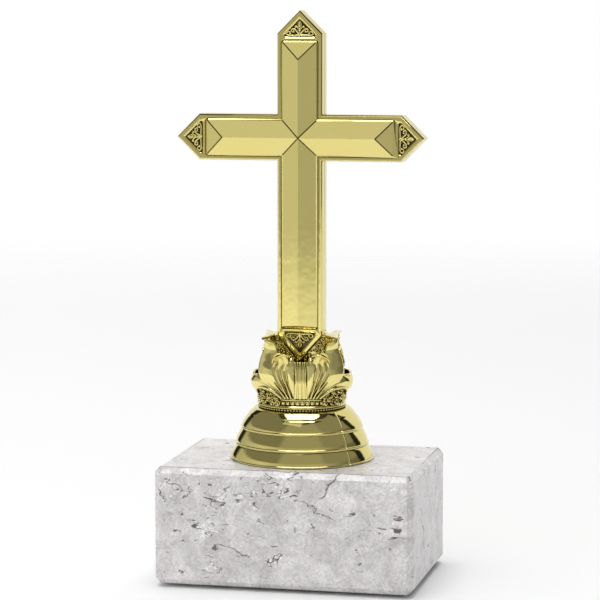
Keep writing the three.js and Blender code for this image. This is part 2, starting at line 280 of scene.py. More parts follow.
    # where the broken veins gather
    gatherFrame = nodes.new("NodeFrame")
    gatherFrame.label = "where veins gather"
    gathered = None
    for k, (centre, reach) in enumerate(clusters):
        apart = nodes.new("ShaderNodeVectorMath")
        apart.label = "distance from a vein patch"
        apart.operation = "DISTANCE"
        apart.location = (-1300, -100 - 180 * k)
        apart.inputs[1].default_value = centre
        near = nodes.new("ShaderNodeMapRange")
        near.label = "inside the patch"
        near.interpolation_type = "SMOOTHSTEP"
        near.location = (-1100, -100 - 180 * k)
        near.inputs["From Min"].default_value = 0.0
        near.inputs["From Max"].default_value = reach
        near.inputs["To Min"].default_value = 0.2
        near.inputs["To Max"].default_value = 0.0
        total = nodes.new("ShaderNodeMath")
        total.label = "with the other patches"
        total.operation = "MAXIMUM"
        total.location = (-900, -100 - 180 * k)
        links.new(inMm.outputs["Vector"], apart.inputs[0])
        total.inputs[1].default_value = 0.0
        links.new(apart.outputs["Value"], near.inputs["Value"])
        links.new(near.outputs["Result"], total.inputs[0])
        if gathered:
            links.new(gathered.outputs["Value"], total.inputs[1])
        gathered = total
        for node in (apart, near, total):
            node.parent = gatherFrame

    # broken veins
    veinFrame = nodes.new("NodeFrame")
    veinFrame.label = "broken veins"
    patch = nodes.new("ShaderNodeTexNoise")
    patch.label = "breaks in the veins"
    patch.location = (-1300, -700)
    patch.inputs["Scale"].default_value = 0.3
    patch.inputs["Detail"].default_value = 4
    patch.inputs["Roughness"].default_value = 0.6
    patchSum = nodes.new("ShaderNodeMath")
    patchSum.label = "more in the patches"
    patchSum.operation = "ADD"
    patchSum.location = (-1100, -700)
    patchRange = nodes.new("ShaderNodeMapRange")
    patchRange.label = "dash or gap"
    patchRange.location = (-900, -700)
    patchRange.inputs["From Min"].default_value = 0.6
    patchRange.inputs["From Max"].default_value = 0.64
    leaning = nodes.new("ShaderNodeMapping")
    leaning.label = "stretched along the bedding"
    leaning.location = (-1500, -1000)
    leaning.inputs["Rotation"].default_value = (0, math.radians(28), 0)
    leaning.inputs["Scale"].default_value = (0.6, 1, 1.5)
    vein = nodes.new("ShaderNodeTexNoise")
    vein.label = "wandering veins"
    vein.location = (-1300, -1000)
    vein.inputs["Scale"].default_value = 0.22
    vein.inputs["Detail"].default_value = 2
    vein.inputs["Distortion"].default_value = 0.6
    level = nodes.new("ShaderNodeMath")
    level.label = "height above the vein level"
    level.operation = "SUBTRACT"
    level.location = (-1100, -1000)
    level.inputs[1].default_value = 0.5
    apartFrom = nodes.new("ShaderNodeMath")
    apartFrom.label = "either side of the vein"
    apartFrom.operation = "ABSOLUTE"
    apartFrom.location = (-950, -1000)
    veinLine = nodes.new("ShaderNodeMapRange")
    veinLine.label = "hairline"
    veinLine.location = (-800, -1000)
    veinLine.inputs["From Min"].default_value = 0.01
    veinLine.inputs["From Max"].default_value = 0.026
    veinLine.inputs["To Min"].default_value = 1.0
    veinLine.inputs["To Max"].default_value = 0.0
    veinAmount = nodes.new("ShaderNodeMath")
    veinAmount.label = "visible veins"
    veinAmount.operation = "MULTIPLY"
    veinAmount.location = (-700, -850)
    fleck = nodes.new("ShaderNodeTexNoise")
    fleck.label = "white flecks"
    fleck.location = (-1300, -1300)
    fleck.inputs["Scale"].default_value = 0.55
    fleck.inputs["Detail"].default_value = 3
    fleck.inputs["Distortion"].default_value = 1.5
    fleckSum = nodes.new("ShaderNodeMath")
    fleckSum.label = "more flecks in the patches"
    fleckSum.operation = "ADD"
    fleckSum.location = (-1100, -1300)
    fleckSpot = nodes.new("ShaderNodeMapRange")
    fleckSpot.label = "only the brightest"
    fleckSpot.location = (-900, -1300)
    fleckSpot.inputs["From Min"].default_value = 0.7
    fleckSpot.inputs["From Max"].default_value = 0.82
    fleckMix = nodes.new("ShaderNodeMix")
    fleckMix.label = "white calcite"
    fleckMix.data_type = "RGBA"
    fleckMix.location = (-450, 400)
    fleckMix.inputs["B"].default_value = (0.93, 0.92, 0.91, 1)
    veinMix = nodes.new("ShaderNodeMix")
    veinMix.label = "dark brown grey vein"
    veinMix.data_type = "RGBA"
    veinMix.location = (-250, 350)
    veinMix.inputs["B"].default_value = (0.15, 0.125, 0.12, 1)
    links.new(inMm.outputs["Vector"], patch.inputs["Vector"])
    links.new(patch.outputs["Fac"], patchSum.inputs[0])
    links.new(gathered.outputs["Value"], patchSum.inputs[1])
    links.new(patchSum.outputs["Value"], patchRange.inputs["Value"])
    links.new(inMm.outputs["Vector"], leaning.inputs["Vector"])
    links.new(leaning.outputs["Vector"], vein.inputs["Vector"])
    links.new(vein.outputs["Fac"], level.inputs[0])
    links.new(level.outputs["Value"], apartFrom.inputs[0])
    links.new(apartFrom.outputs["Value"], veinLine.inputs["Value"])
    links.new(veinLine.outputs["Result"], veinAmount.inputs[0])
    links.new(patchRange.outputs["Result"], veinAmount.inputs[1])
    links.new(inMm.outputs["Vector"], fleck.inputs["Vector"])
    links.new(fleck.outputs["Fac"], fleckSum.inputs[0])
    links.new(gathered.outputs["Value"], fleckSum.inputs[1])
    links.new(fleckSum.outputs["Value"], fleckSpot.inputs["Value"])
    links.new(fleckSpot.outputs["Result"], fleckMix.inputs["Factor"])
    links.new(crystal.outputs["Result"], fleckMix.inputs["A"])
    links.new(fleckMix.outputs["Result"], veinMix.inputs["A"])
    for node in (patch, patchSum, patchRange, leaning, vein, level, apartFrom, veinLine, veinAmount,
                 fleck, fleckSum, fleckSpot, fleckMix, veinMix):
        node.parent = veinFrame

    # single cracks, joined to the veins one after another
    crackFrame = nodes.new("NodeFrame")
    crackFrame.label = "single cracks"
    cracked = veinAmount
    for k, (middle, lean, reach, broken) in enumerate(cracks):
        crackPlace = nodes.new("ShaderNodeMapping")
        crackPlace.label = "along and across the crack"
        crackPlace.vector_type = "TEXTURE"
        crackPlace.location = (-1300, -1600 - 260 * k)
        crackPlace.inputs["Location"].default_value = middle
        crackPlace.inputs["Rotation"].default_value = [math.radians(degrees) for degrees in lean]
        axes = nodes.new("ShaderNodeSeparateXYZ")
        axes.label = "along, depth, across"
        axes.location = (-1100, -1600 - 260 * k)
        along = nodes.new("ShaderNodeMath")
        along.label = "either way along"
        along.operation = "ABSOLUTE"
        along.location = (-900, -1550 - 260 * k)
        across = nodes.new("ShaderNodeMath")
        across.label = "either side"
        across.operation = "ABSOLUTE"
        across.location = (-900, -1700 - 260 * k)
        ends = nodes.new("ShaderNodeMapRange")
        ends.label = "fades at its ends"
        ends.location = (-700, -1550 - 260 * k)
        ends.inputs["From Min"].default_value = reach
        ends.inputs["From Max"].default_value = reach * 0.7
        line = nodes.new("ShaderNodeMapRange")
        line.label = "thin line"
        line.location = (-700, -1700 - 260 * k)
        line.inputs["From Min"].default_value = 0.3
        line.inputs["From Max"].default_value = 0.1
        crack = nodes.new("ShaderNodeMath")
        crack.label = "one crack"
        crack.operation = "MULTIPLY"
        crack.location = (-500, -1600 - 260 * k)
        dots = nodes.new("ShaderNodeMapRange")
        dots.label = "broken into dots"
        dots.location = (-500, -1750 - 260 * k)
        dots.inputs["From Min"].default_value = 0.45
        dots.inputs["From Max"].default_value = 0.55
        dots.inputs["To Min"].default_value = 1 - broken
        dotted = nodes.new("ShaderNodeMath")
        dotted.label = "crack with breaks"
        dotted.operation = "MULTIPLY"
        dotted.location = (-300, -1600 - 260 * k)
        together = nodes.new("ShaderNodeMath")
        together.label = "with the other veins"
        together.operation = "MAXIMUM"
        together.location = (-100, -1600 - 260 * k)
        links.new(bent.outputs["Vector"], crackPlace.inputs["Vector"])
        links.new(crackPlace.outputs["Vector"], axes.inputs["Vector"])
        links.new(axes.outputs["X"], along.inputs[0])
        links.new(axes.outputs["Z"], across.inputs[0])
        links.new(along.outputs["Value"], ends.inputs["Value"])
        links.new(across.outputs["Value"], line.inputs["Value"])
        links.new(ends.outputs["Result"], crack.inputs[0])
        links.new(line.outputs["Result"], crack.inputs[1])
        links.new(grain.outputs["Fac"], dots.inputs["Value"])
        links.new(crack.outputs["Value"], dotted.inputs[0])
        links.new(dots.outputs["Result"], dotted.inputs[1])
        links.new(dotted.outputs["Value"], together.inputs[0])
        links.new(cracked.outputs["Value"], together.inputs[1])
        cracked = together
        for node in (crackPlace, axes, along, across, ends, line, crack, dots, dotted, together):
            node.parent = crackFrame
    links.new(cracked.outputs["Value"], veinMix.inputs["Factor"])

    # small pits
    pitFrame = nodes.new("NodeFrame")
    pitFrame.label = "pits and polish"
    pit = nodes.new("ShaderNodeTexVoronoi")
    pit.label = "scattered pits"
    pit.location = (-250, -300)
    pit.inputs["Scale"].default_value = 0.14
    pitSpot = nodes.new("ShaderNodeMapRange")
    pitSpot.label = "pit centres"
    pitSpot.location = (-50, -300)
    pitSpot.inputs["From Min"].default_value = 0.05
    pitSpot.inputs["From Max"].default_value = 0.09
    pitSpot.inputs["To Min"].default_value = 0.7
    pitSpot.inputs["To Max"].default_value = 0.0
    pitMix = nodes.new("ShaderNodeMix")
    pitMix.label = "dark pit"
    pitMix.data_type = "RGBA"
    pitMix.location = (150, 350)
    pitMix.inputs["B"].default_value = (0.25, 0.22, 0.21, 1)
    hurt = nodes.new("ShaderNodeMath")
    hurt.label = "veins and pits together"
    hurt.operation = "MAXIMUM"
    hurt.location = (150, -200)
    hurtBump = nodes.new("ShaderNodeBump")
    hurtBump.label = "sunk veins and pits"
    hurtBump.invert = True
    hurtBump.location = (350, -350)
    hurtBump.inputs["Strength"].default_value = 0.6
    hurtBump.inputs["Distance"].default_value = 0.12 * mm
    rough = nodes.new("ShaderNodeMapRange")
    rough.label = "polish lost in the pits"
    rough.location = (350, -100)
    rough.inputs["To Min"].default_value = 0.3
    rough.inputs["To Max"].default_value = 0.75
    links.new(bent.outputs["Vector"], pit.inputs["Vector"])
    links.new(pit.outputs["Distance"], pitSpot.inputs["Value"])
    links.new(pitSpot.outputs["Result"], pitMix.inputs["Factor"])
    links.new(veinMix.outputs["Result"], pitMix.inputs["A"])
    links.new(cracked.outputs["Value"], hurt.inputs[0])
    links.new(pitSpot.outputs["Result"], hurt.inputs[1])
    links.new(hurt.outputs["Value"], hurtBump.inputs["Height"])
    links.new(hurt.outputs["Value"], rough.inputs["Value"])
    for node in (pit, pitSpot, pitMix, hurt, hurtBump, rough):
        node.parent = pitFrame

    stone = nodes.new("ShaderNodeBsdfPrincipled")
    stone.label = "polished stone"
    stone.location = (600, 100)
    stone.inputs["IOR"].default_value = 1.49
    stone.inputs["Subsurface Weight"].default_value = 0.06
    stone.inputs["Subsurface Scale"].default_value = 1.2 * mm
    output = nodes.new("ShaderNodeOutputMaterial")
    output.label = "to the surface"
    output.location = (900, 100)
    links.new(pitMix.outputs["Result"], stone.inputs["Base Color"])
    links.new(rough.outputs["Result"], stone.inputs["Roughness"])
    links.new(hurtBump.outputs["Normal"], stone.inputs["Normal"])
    links.new(stone.outputs["BSDF"], output.inputs["Surface"])
    return mat


# zinc plated steel for the fasteners
def zincMaterial():
    mat = bpy.data.materials.new("zincSteel")
    mat.use_nodes = True
    nodes, links = mat.node_tree.nodes, mat.node_tree.links
    nodes.clear()
    place = nodes.new("ShaderNodeTexCoord")
    place.label = "place on the fastener"
    place.location = (-1000, 0)
    inMm = nodes.new("ShaderNodeMapping")
    inMm.label = "metres to millimetres"
    inMm.location = (-800, 0)
    inMm.inputs["Scale"].default_value = (1000, 1000, 1000)
    finishFrame = nodes.new("NodeFrame")
    finishFrame.label = "zinc finish"
    spangle = nodes.new("ShaderNodeTexNoise")
    spangle.label = "cloudy zinc"
    spangle.location = (-600, 150)
    spangle.inputs["Scale"].default_value = 1.4
    spangle.inputs["Detail"].default_value = 5
    spangleRamp = nodes.new("ShaderNodeValToRGB")
    spangleRamp.label = "blue to warm zinc"
    spangleRamp.location = (-400, 200)
    spangleRamp.color_ramp.elements[0].color = (0.42, 0.44, 0.47, 1)
    spangleRamp.color_ramp.elements[1].color = (0.72, 0.71, 0.66, 1)
    dull = nodes.new("ShaderNodeMapRange")
    dull.label = "uneven dullness"
    dull.location = (-400, -80)
    dull.inputs["To Min"].default_value = 0.28
    dull.inputs["To Max"].default_value = 0.5
    scratch = nodes.new("ShaderNodeBump")
    scratch.label = "tumbling marks"
    scratch.location = (-400, -350)
    scratch.inputs["Strength"].default_value = 0.3
    scratch.inputs["Distance"].default_value = 0.02 * mm
    metal = nodes.new("ShaderNodeBsdfPrincipled")
    metal.label = "zinc"
    metal.location = (-100, 0)
    metal.inputs["Metallic"].default_value = 1.0
    output = nodes.new("ShaderNodeOutputMaterial")
    output.label = "to the surface"
    output.location = (200, 0)
    links.new(place.outputs["Object"], inMm.inputs["Vector"])
    links.new(inMm.outputs["Vector"], spangle.inputs["Vector"])
    links.new(spangle.outputs["Fac"], spangleRamp.inputs["Fac"])
    links.new(spangle.outputs["Fac"], dull.inputs["Value"])
    links.new(spangle.outputs["Fac"], scratch.inputs["Height"])
    links.new(spangleRamp.outputs["Color"], metal.inputs["Base Color"])
    links.new(dull.outputs["Result"], metal.inputs["Roughness"])
    links.new(scratch.outputs["Normal"], metal.inputs["Normal"])
    links.new(metal.outputs["BSDF"], output.inputs["Surface"])
    for node in (spangle, spangleRamp, dull, scratch):
        node.parent = finishFrame
    return mat


# pressed wool felt under the stone
def feltMaterial():
    mat = bpy.data.materials.new("greenFelt")
    mat.use_nodes = True
    nodes, links = mat.node_tree.nodes, mat.node_tree.links
    nodes.clear()
    place = nodes.new("ShaderNodeTexCoord")
    place.label = "place on the pad"
    place.location = (-1000, 0)
    inMm = nodes.new("ShaderNodeMapping")
    inMm.label = "metres to millimetres"
    inMm.location = (-800, 0)
    inMm.inputs["Scale"].default_value = (1000, 1000, 1000)
    woolFrame = nodes.new("NodeFrame")
    woolFrame.label = "pressed wool"
    fibre = nodes.new("ShaderNodeTexNoise")
    fibre.label = "matted fibres"
    fibre.location = (-600, 150)
    fibre.inputs["Scale"].default_value = 3.5
    fibre.inputs["Detail"].default_value = 8
    fibre.inputs["Distortion"].default_value = 1.5
    fibreRamp = nodes.new("ShaderNodeValToRGB")
    fibreRamp.label = "dark and light wool"
    fibreRamp.location = (-400, 200)
    fibreRamp.color_ramp.elements[0].position = 0.3
    fibreRamp.color_ramp.elements[0].color = (0.015, 0.04, 0.02, 1)
    fibreRamp.color_ramp.elements[1].position = 0.75
    fibreRamp.color_ramp.elements[1].color = (0.06, 0.13, 0.07, 1)
    nap = nodes.new("ShaderNodeBump")
    nap.label = "nap"
    nap.location = (-400, -150)
    nap.inputs["Strength"].default_value = 0.9
    nap.inputs["Distance"].default_value = 0.15 * mm
    wool = nodes.new("ShaderNodeBsdfPrincipled")
    wool.label = "felt"
    wool.location = (-100, 0)
    wool.inputs["Roughness"].default_value = 0.95
    wool.inputs["Sheen Weight"].default_value = 0.4
    wool.inputs["Sheen Roughness"].default_value = 0.5
    output = nodes.new("ShaderNodeOutputMaterial")
    output.label = "to the surface"
    output.location = (200, 0)
    links.new(place.outputs["Object"], inMm.inputs["Vector"])
    links.new(inMm.outputs["Vector"], fibre.inputs["Vector"])
    links.new(fibre.outputs["Fac"], fibreRamp.inputs["Fac"])
    links.new(fibre.outputs["Fac"], nap.inputs["Height"])
    links.new(fibreRamp.outputs["Color"], wool.inputs["Base Color"])
    links.new(nap.outputs["Normal"], wool.inputs["Normal"])
    links.new(wool.outputs["BSDF"], output.inputs["Surface"])
    for node in (fibre, fibreRamp, nap):
        node.parent = woolFrame
    return mat


# finish: tone, painted shade tone in the hollows, reach of that painted shade in millimetres, roughness
# a dark copy of the gilt: painted shade on the groove and pocket floors, painted dark reflection on upward
# chamfers and hip lines
giltPaintedShadeAndReflection = giltMaterial("giltPaintedShadeAndReflection", (0.1, 0.08, 0.03), (0.05, 0.035, 0.01), 0.7, 0.12)
gilt = giltMaterial("gilt", (0.8, 0.7, 0.27), (0.2, 0.14, 0.02), 0.7, 0.035)
# a brighter copy of the gilt for the ring, leaves and scrolls, painted light, with deeper painted shade in
# their hollows
giltFineLitAndShaded = giltMaterial("giltFineLitAndShaded", (0.85, 0.75, 0.31), (0.12, 0.08, 0.01), 1.5, 0.04)
# vein patches: middle and reach in millimetres
veinPatches = (
    ((-34, -27, 31), 9), ((-21, -27, 27), 10), ((-11, -27, 28), 8), ((-1, -27, 35), 11), ((-24, -27, 19), 9),
    ((-2, -27, 11), 6), ((-22, -27, 8), 6), ((34, -27, 22), 6), ((-10, 27, 20), 22),
)
# cracks: middle, lean in degrees, half their length and how broken they are
stoneCracks = (
    ((14, -27.5, 33), (0, -50, 0), 5.5, 0.2),
    ((10, -27.5, 26), (0, 27, 0), 8, 0.9),
    ((-15, -27.5, 12.5), (0, 22, 0), 6.5, 0.5),
    ((40, -10, 18), (0, 62, 90), 8, 0.2),
)
marble = marbleMaterial(veinPatches, stoneCracks)
zinc = zincMaterial()
felt = feltMaterial()
print("materials ready")


# a shape holds points, faces, and the numbers of the faces that take the dark gilt of painted shade and
# painted reflection
def newShape():
    return {"points": [], "faces": [], "dark": []}


def addRing(shape, points):
    start = len(shape["points"])
    shape["points"] += [Vector(p) for p in points]
    return list(range(start, start + len(points)))


def wall(shape, *rings):
    for a, b in zip(rings, rings[1:]):
        for i in range(len(a)):
            j = (i + 1) % len(a)
            shape["faces"].append((a[i], a[j], b[j], b[i]))


def cap(shape, rings, facing):
    # a flat face with holes: the first ring is its edge
    flat = [i for ring in rings for i in ring]
    loops = [[shape["points"][i] for i in ring] for ring in rings]
    for tri in tessellate_polygon(loops):
        a, b, c = (flat[i] for i in tri)
        pa, pb, pc = (shape["points"][i] for i in (a, b, c))
        ahead = (pb - pa).cross(pc - pa).dot(facing) > 0
        shape["faces"].append((a, b, c) if ahead else (a, c, b))


def fan(shape, ring, flip):
    middle = sum((shape["points"][i] for i in ring), Vector()) / len(ring)
    centre = addRing(shape, [middle])[0]
    for i in range(len(ring)):
        a, b = ring[i], ring[(i + 1) % len(ring)]
        shape["faces"].append((b, a, centre) if flip else (a, b, centre))


def sweep(shape, sections):
    rings = [addRing(shape, section) for section in sections]
    wall(shape, *rings)
    fan(shape, rings[0], True)
    fan(shape, rings[-1], False)


def moved(shape, matrix):
    return {**shape, "points": [matrix @ p for p in shape["points"]]}


def piece(name, shape, material, nodes, crease, flats=True):
    mesh = bpy.data.meshes.new(name)
    mesh.from_pydata([p * mm for p in shape["points"]], [], shape["faces"])
    mesh.materials.append(material)
    # the listed faces take the dark gilt, painted shade and painted dark reflection
    if shape["dark"]:
        mesh.materials.append(giltPaintedShadeAndReflection)
        for number in shape["dark"]:
            mesh.polygons[number].material_index = 1
    mesh.shade_smooth()
    mesh.set_sharp_from_angle(angle=math.radians(crease))
    made = bpy.data.objects.new(name, mesh)
    scene.collection.objects.link(made)
    if flats:
        keepFlat = made.modifiers.new("keepFlat", "WEIGHTED_NORMAL")
        keepFlat.keep_sharp = True
        keepFlat.weight = 100
    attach(made, "root")
    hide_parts(*nodes)
    return made


# outlines are lists of 2D points that run anticlockwise
def grown(outline, distance):
    out = []
    for i, point in enumerate(outline):
        before = (point - outline[i - 1]).normalized()
        after = (outline[(i + 1) % len(outline)] - point).normalized()
        outA, outB = Vector((before.y, -before.x)), Vector((after.y, -after.x))
        out.append(point + (outA + outB) * (distance / (1 + outA.dot(outB))))
    return out


def softCorners(outline, radius, steps=5, convexOnly=True):
    out = []
    for i, point in enumerate(outline):
        back = outline[i - 1] - point
        ahead = outline[(i + 1) % len(outline)] - point
        convex = (-back).cross(ahead) > 0
        turning = back.normalized().dot(ahead.normalized())
        if (convexOnly and not convex) or turning < -0.999:
            out.append(point)
            continue
        reach = radius / math.tan(math.acos(max(-1, turning)) / 2)
        start, end = point + back.normalized() * reach, point + ahead.normalized() * reach
        for k in range(steps + 1):
            t = k / steps
            out.append(start * (1 - t) ** 2 + point * 2 * t * (1 - t) + end * t * t)
    return out


def quarter():
    # (share inward, share upward) round a quarter circle
    steps = 3
    angles = [math.pi / 2 * k / steps for k in range(steps + 1)]
    return [(1 - math.cos(a), math.sin(a)) for a in angles]


def turned(shape, profile, turns):
    # profile: closed loop of (radius, height), anticlockwise; turns: angles from the front
    rings = []
    for turn in turns:
        s, c = math.sin(turn), -math.cos(turn)
        rings.append(addRing(shape, [(r * s, r * c, h) for r, h in profile]))
    for a, b in zip(rings, rings[1:] + rings[:1]):
        for j in range(len(profile)):
            k = (j + 1) % len(profile)
            shape["faces"].append((a[j], b[j], b[k], a[k]))


def fullTurn(steps):
    return [2 * math.pi * k / steps for k in range(steps)]


def smoothLine(points, steps):
    # Catmull-Rom through the points, steps + 1 samples, any number of coordinates
    def at(i):
        return points[max(0, min(len(points) - 1, i))]
    line = []
    for k in range(steps + 1):
        whole = k / steps * (len(points) - 1)
        i = min(int(whole), len(points) - 2)
        t = whole - i
        a, b, c, d = at(i - 1), at(i), at(i + 1), at(i + 2)
        line.append([0.5 * (
            2 * q + (r - p) * t + (2 * p - 5 * q + 4 * r - s) * t * t + (3 * q - p - 3 * r + s) * t ** 3
        ) for p, q, r, s in zip(a, b, c, d)])
    return line


def rope(shape, points, radii, normal):
    # a round bar along the points, with rounded ends
    sections = []
    count = len(points)
    angles = [-a for a in fullTurn(10)]
    for i, point in enumerate(points):
        along = (points[min(i + 1, count - 1)] - points[max(i - 1, 0)]).normalized()
        side = along.cross(normal).normalized()
        out = side.cross(along)
        rows = [(0, 1)]
        if i == 0:
            rows = [(-0.7, 0.6), (-0.35, 0.9), (0, 1)]
        if i == count - 1:
            rows = [(0, 1), (0.35, 0.9), (0.7, 0.6)]
        for shift, share in rows:
            centre = point + along * shift * radii[i]
            size = radii[i] * share
            sections.append([centre + (side * math.cos(a) + out * math.sin(a)) * size for a in angles])
    sweep(shape, sections)


def ball(shape, centre, radius, rows=6, sides=10):
    sections = []
    for k in range(1, rows):
        tilt = math.pi * k / rows
        out, rise = radius * math.sin(tilt), -radius * math.cos(tilt)
        ring = [Vector((out * math.cos(a), out * math.sin(a), rise)) for a in fullTurn(sides)]
        sections.append([centre + spot for spot in ring])
    sweep(shape, sections)


# the cross: two shells, each drawn flat in (across, up, outward) and stood up
crossLow, crossHigh = (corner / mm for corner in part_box("cross_front_shell"))
cross = {
    "halfWidth": 7.05,
    "arm": crossHigh.x,
    "centre": crossHigh.z - crossHigh.x,
    "shaft": crossHigh.z - crossHigh.x - crossLow.z,
    "face": -crossLow.y,
    "edge": 0.12,
    "chamfer": (0.42, 0.6),
    "seam": 0.06,
    "seamEdge": 0.12,
    "panelHalf": 5.2,
    "panelGap": 9.6,
    "rim": 0.45,
    "rimCorner": 0.95,
    "groove": 0.14,
    "seat": 0.9,
    "rise": 0.42,
    "rimSlope": 0.42,
    "ridge": 2.4,
    "ridgeSoft": 0.14,
    "hipLine": 0.2,
    "footHip": 0.5,
    "footPoint": 1.1,
    "pocketTip": 2.55,
    "pocketBase": 8.0,
    "pocketHalf": 4.75,
    "pocketDepth": 0.9,
    "pocketSlope": (0.5, 0.34),
}


def crossOutline():
    w, arm, shaft = cross["halfWidth"], cross["arm"], cross["shaft"]
    return [Vector(p) for p in (
        (0, -shaft - cross["footPoint"]), (w, w - shaft), (w, -w),
        (arm - w, -w), (arm, 0), (arm - w, w), (w, w),
        (w, arm - w), (0, arm), (-w, arm - w), (-w, w),
        (w - arm, w), (-arm, 0), (w - arm, -w), (-w, -w), (-w, w - shaft),
    )]


def panelOutline(grow=0):
    w = cross["panelHalf"] + grow
    arm = cross["arm"] - cross["panelGap"] + grow
    shaft = cross["shaft"] - cross["panelGap"] + grow
    return [Vector(p) for p in (
        (w, -shaft), (w, -w), (arm, -w), (arm, w), (w, w), (w, arm),
        (-w, arm), (-w, w), (-arm, w), (-arm, -w), (-w, -w), (-w, -shaft),
    )]


def gable(reach, taller):
    apex, base, side = reach - cross["pocketTip"], reach - cross["pocketBase"], cross["pocketHalf"]
    return [Vector(p) for p in (
        (-side, base), (side, base), (side, apex - side), (0, apex + taller), (-side, apex - side))]


arms = {
    "head": (0, cross["arm"]),
    "left_arm": (math.pi / 2, cross["arm"]),
    "foot": (math.pi, cross["shaft"]),
    "right_arm": (-math.pi / 2, cross["arm"]),
}


def onSide(side):
    way = 1 if side == "front" else -1
    return Matrix(((way, 0, 0, 0), (0, 0, -way, 0), (0, 1, 0, cross["centre"]), (0, 0, 0, 1)))


def lifted(outline, height):
    return [(p.x, p.y, height) for p in outline]


def crossShell():
    shape = newShape()
    face, edge = cross["face"], cross["edge"]
    inwardBy, deep = cross["chamfer"]
    outline = crossOutline()
    rings = [addRing(shape, lifted(grown(outline, -cross["seamEdge"]), cross["seam"]))]
    rings.append(addRing(shape, lifted(outline, cross["seam"] + cross["seamEdge"])))
    rings.append(addRing(shape, lifted(outline, face - deep)))
    for inward, upward in quarter():
        step = inwardBy * (0.8 + 0.2 * upward) + inward * edge
        rings.append(addRing(shape, lifted(grown(outline, -step), face - edge + upward * edge)))
    wall(shape, *rings)
    # painted dark reflection: the chamfer along the edges that look up takes the dark gilt
    corners = len(outline)
    for i in range(corners):
        if outline[(i + 1) % corners].x < outline[i].x - 0.1:
            shape["dark"].append(2 * corners + i)
    cap(shape, [rings[0]], -up)
    groove = softCorners(panelOutline(cross["rim"] + cross["groove"]), cross["rimCorner"])
    sockets = [(groove, cross["seat"], (0.1, 0.1))]
    for name, (turn, reach) in arms.items():
        spin = Matrix.Rotation(turn, 2)
        point = gable(reach, cross["footPoint"] if name == "foot" else 0)
        mouth = [spin @ p for p in softCorners(point, 0.3)]
        sockets.append((mouth, cross["pocketDepth"], cross["pocketSlope"]))
    mouths = []
    for mouth, depth, (wide, drop) in sockets:
        steps = [
            addRing(shape, lifted(grown(mouth, wide * out), face - drop * down))
            for out, down in ((1, 0), (0.9, 0.04), (0.1, 0.9), (0, 1.05))
        ]
        floor = addRing(shape, lifted(mouth, face - depth))
        wall(shape, *steps, floor)
        # painted shade: the floors of the groove and the pockets take the dark gilt
        ground = len(shape["faces"])
        cap(shape, [floor], up)
        shape["dark"] += range(ground, len(shape["faces"]))
        mouths.append(steps[0])
    cap(shape, [rings[-1], *mouths], up)
    return shape


def bevelledPanel():
    plate = newShape()
    face, rise, slope = cross["face"], cross["rise"], cross["rimSlope"]
    low = face - cross["seat"] + 0.02
    outline = softCorners(panelOutline(cross["rim"]), cross["rimCorner"])
    rings = [addRing(plate, lifted(outline, low))]
    for inward, upward in ((0, -0.02), (0.06, 0.1), (0.82, 0.92), (0.94, 0.99), (1.1, 1)):
        height = face + rise - slope + upward * slope
        rings.append(addRing(plate, lifted(grown(outline, -inward * slope), height)))
    wall(plate, *rings)
    cap(plate, [rings[0]], -up)
    cap(plate, [rings[-1]], up)

    roof = newShape()
    w, ridge = cross["panelHalf"], face + cross["ridge"]
    arm, shaft = cross["arm"] - cross["panelGap"], cross["shaft"] - cross["panelGap"]
    base = addRing(roof, lifted(panelOutline(), face + rise - 0.05))
    eaves = addRing(roof, lifted(panelOutline(), face + rise + 0.02))
    wall(roof, base, eaves)
    cap(roof, [base], -up)
    middle, foot, right, head, left = addRing(roof, [
        (0, 0, ridge), (0, cross["footHip"] - shaft, ridge),
        (arm - w, 0, ridge), (0, arm - w, ridge), (w - arm, 0, ridge),
    ])
    e = eaves
    roof["faces"] += [
        (e[11], e[0], foot), (e[0], e[1], middle, foot), (e[10], e[11], foot, middle),
        (e[2], e[3], right), (e[1], e[2], right, middle), (e[3], e[4], middle, right),
        (e[5], e[6], head), (e[4], e[5], head, middle), (e[6], e[7], middle, head),
        (e[8], e[9], left), (e[7], e[8], left, middle), (e[9], e[10], middle, left),
    ]
    return plate, roof


# scroll work in the four ends, drawn for the head with the base line at height 0
scroll = {"bar": 0.36, "thin": 0.22, "bead": 0.46}


def filigree(reach):
    shape = newShape()
    base = reach - cross["pocketBase"]
    level = cross["face"] - cross["pocketDepth"] + 0.5
    bar, thin, bead = scroll["bar"], scroll["thin"], scroll["bead"]

    def at(x, y, lift=0.0):
        return Vector((x, base + y, level + lift))

    def curl(points, start, end):
        line = [at(*p) for p in smoothLine(points, 26)]
        radii = [start + (end - start) * i / 26 for i in range(27)]
        rope(shape, line, radii, up)

    for way in (-1, 1):
        curl([(way * x, y) for x, y in (
            (0.25, 0.55), (1.2, 0.5), (2.4, 0.42), (3.6, 0.5), (4.15, 1.0), (3.7, 1.55), (2.95, 1.4),
            (2.95, 0.98),
        )], bar, thin)
        curl([(way * x, y) for x, y in (
            (0.15, 0.8), (0.7, 1.5), (1.5, 2.25), (2.35, 2.35), (2.6, 1.85), (2.2, 1.5), (1.8, 1.65),
        )], bar, thin)
        curl([(way * x, y) for x, y in (
            (0.1, 2.1), (0.55, 2.75), (1.1, 3.15), (1.45, 3.0), (1.35, 2.75),
        )], bar * 0.8, thin)
        ball(shape, at(way * 2.95, 0.95, 0.1), bead * 0.85)
        ball(shape, at(way * 1.8, 1.6, 0.1), bead * 0.75)
        ball(shape, at(way * 1.3, 2.85, 0.05), bead * 0.6)
    curl([(0, 0.3), (0, 1.2), (0, 2.2), (0, 3.0)], bar, bar * 0.7)
    ball(shape, at(0, 2.15, 0.12), bead * 1.05)
    curl([(0, 3.1), (0, 3.7), (0, 4.3), (0, 4.75)], bar * 1.35, thin * 0.6)
    for way in (-1, 1):
        curl([(0, 3.0), (way * 0.45, 3.5), (way * 0.42, 4.1), (way * 0.1, 4.6)], thin, thin * 0.7)
    return shape


boreRadius = 3.4  # clears the tie rod

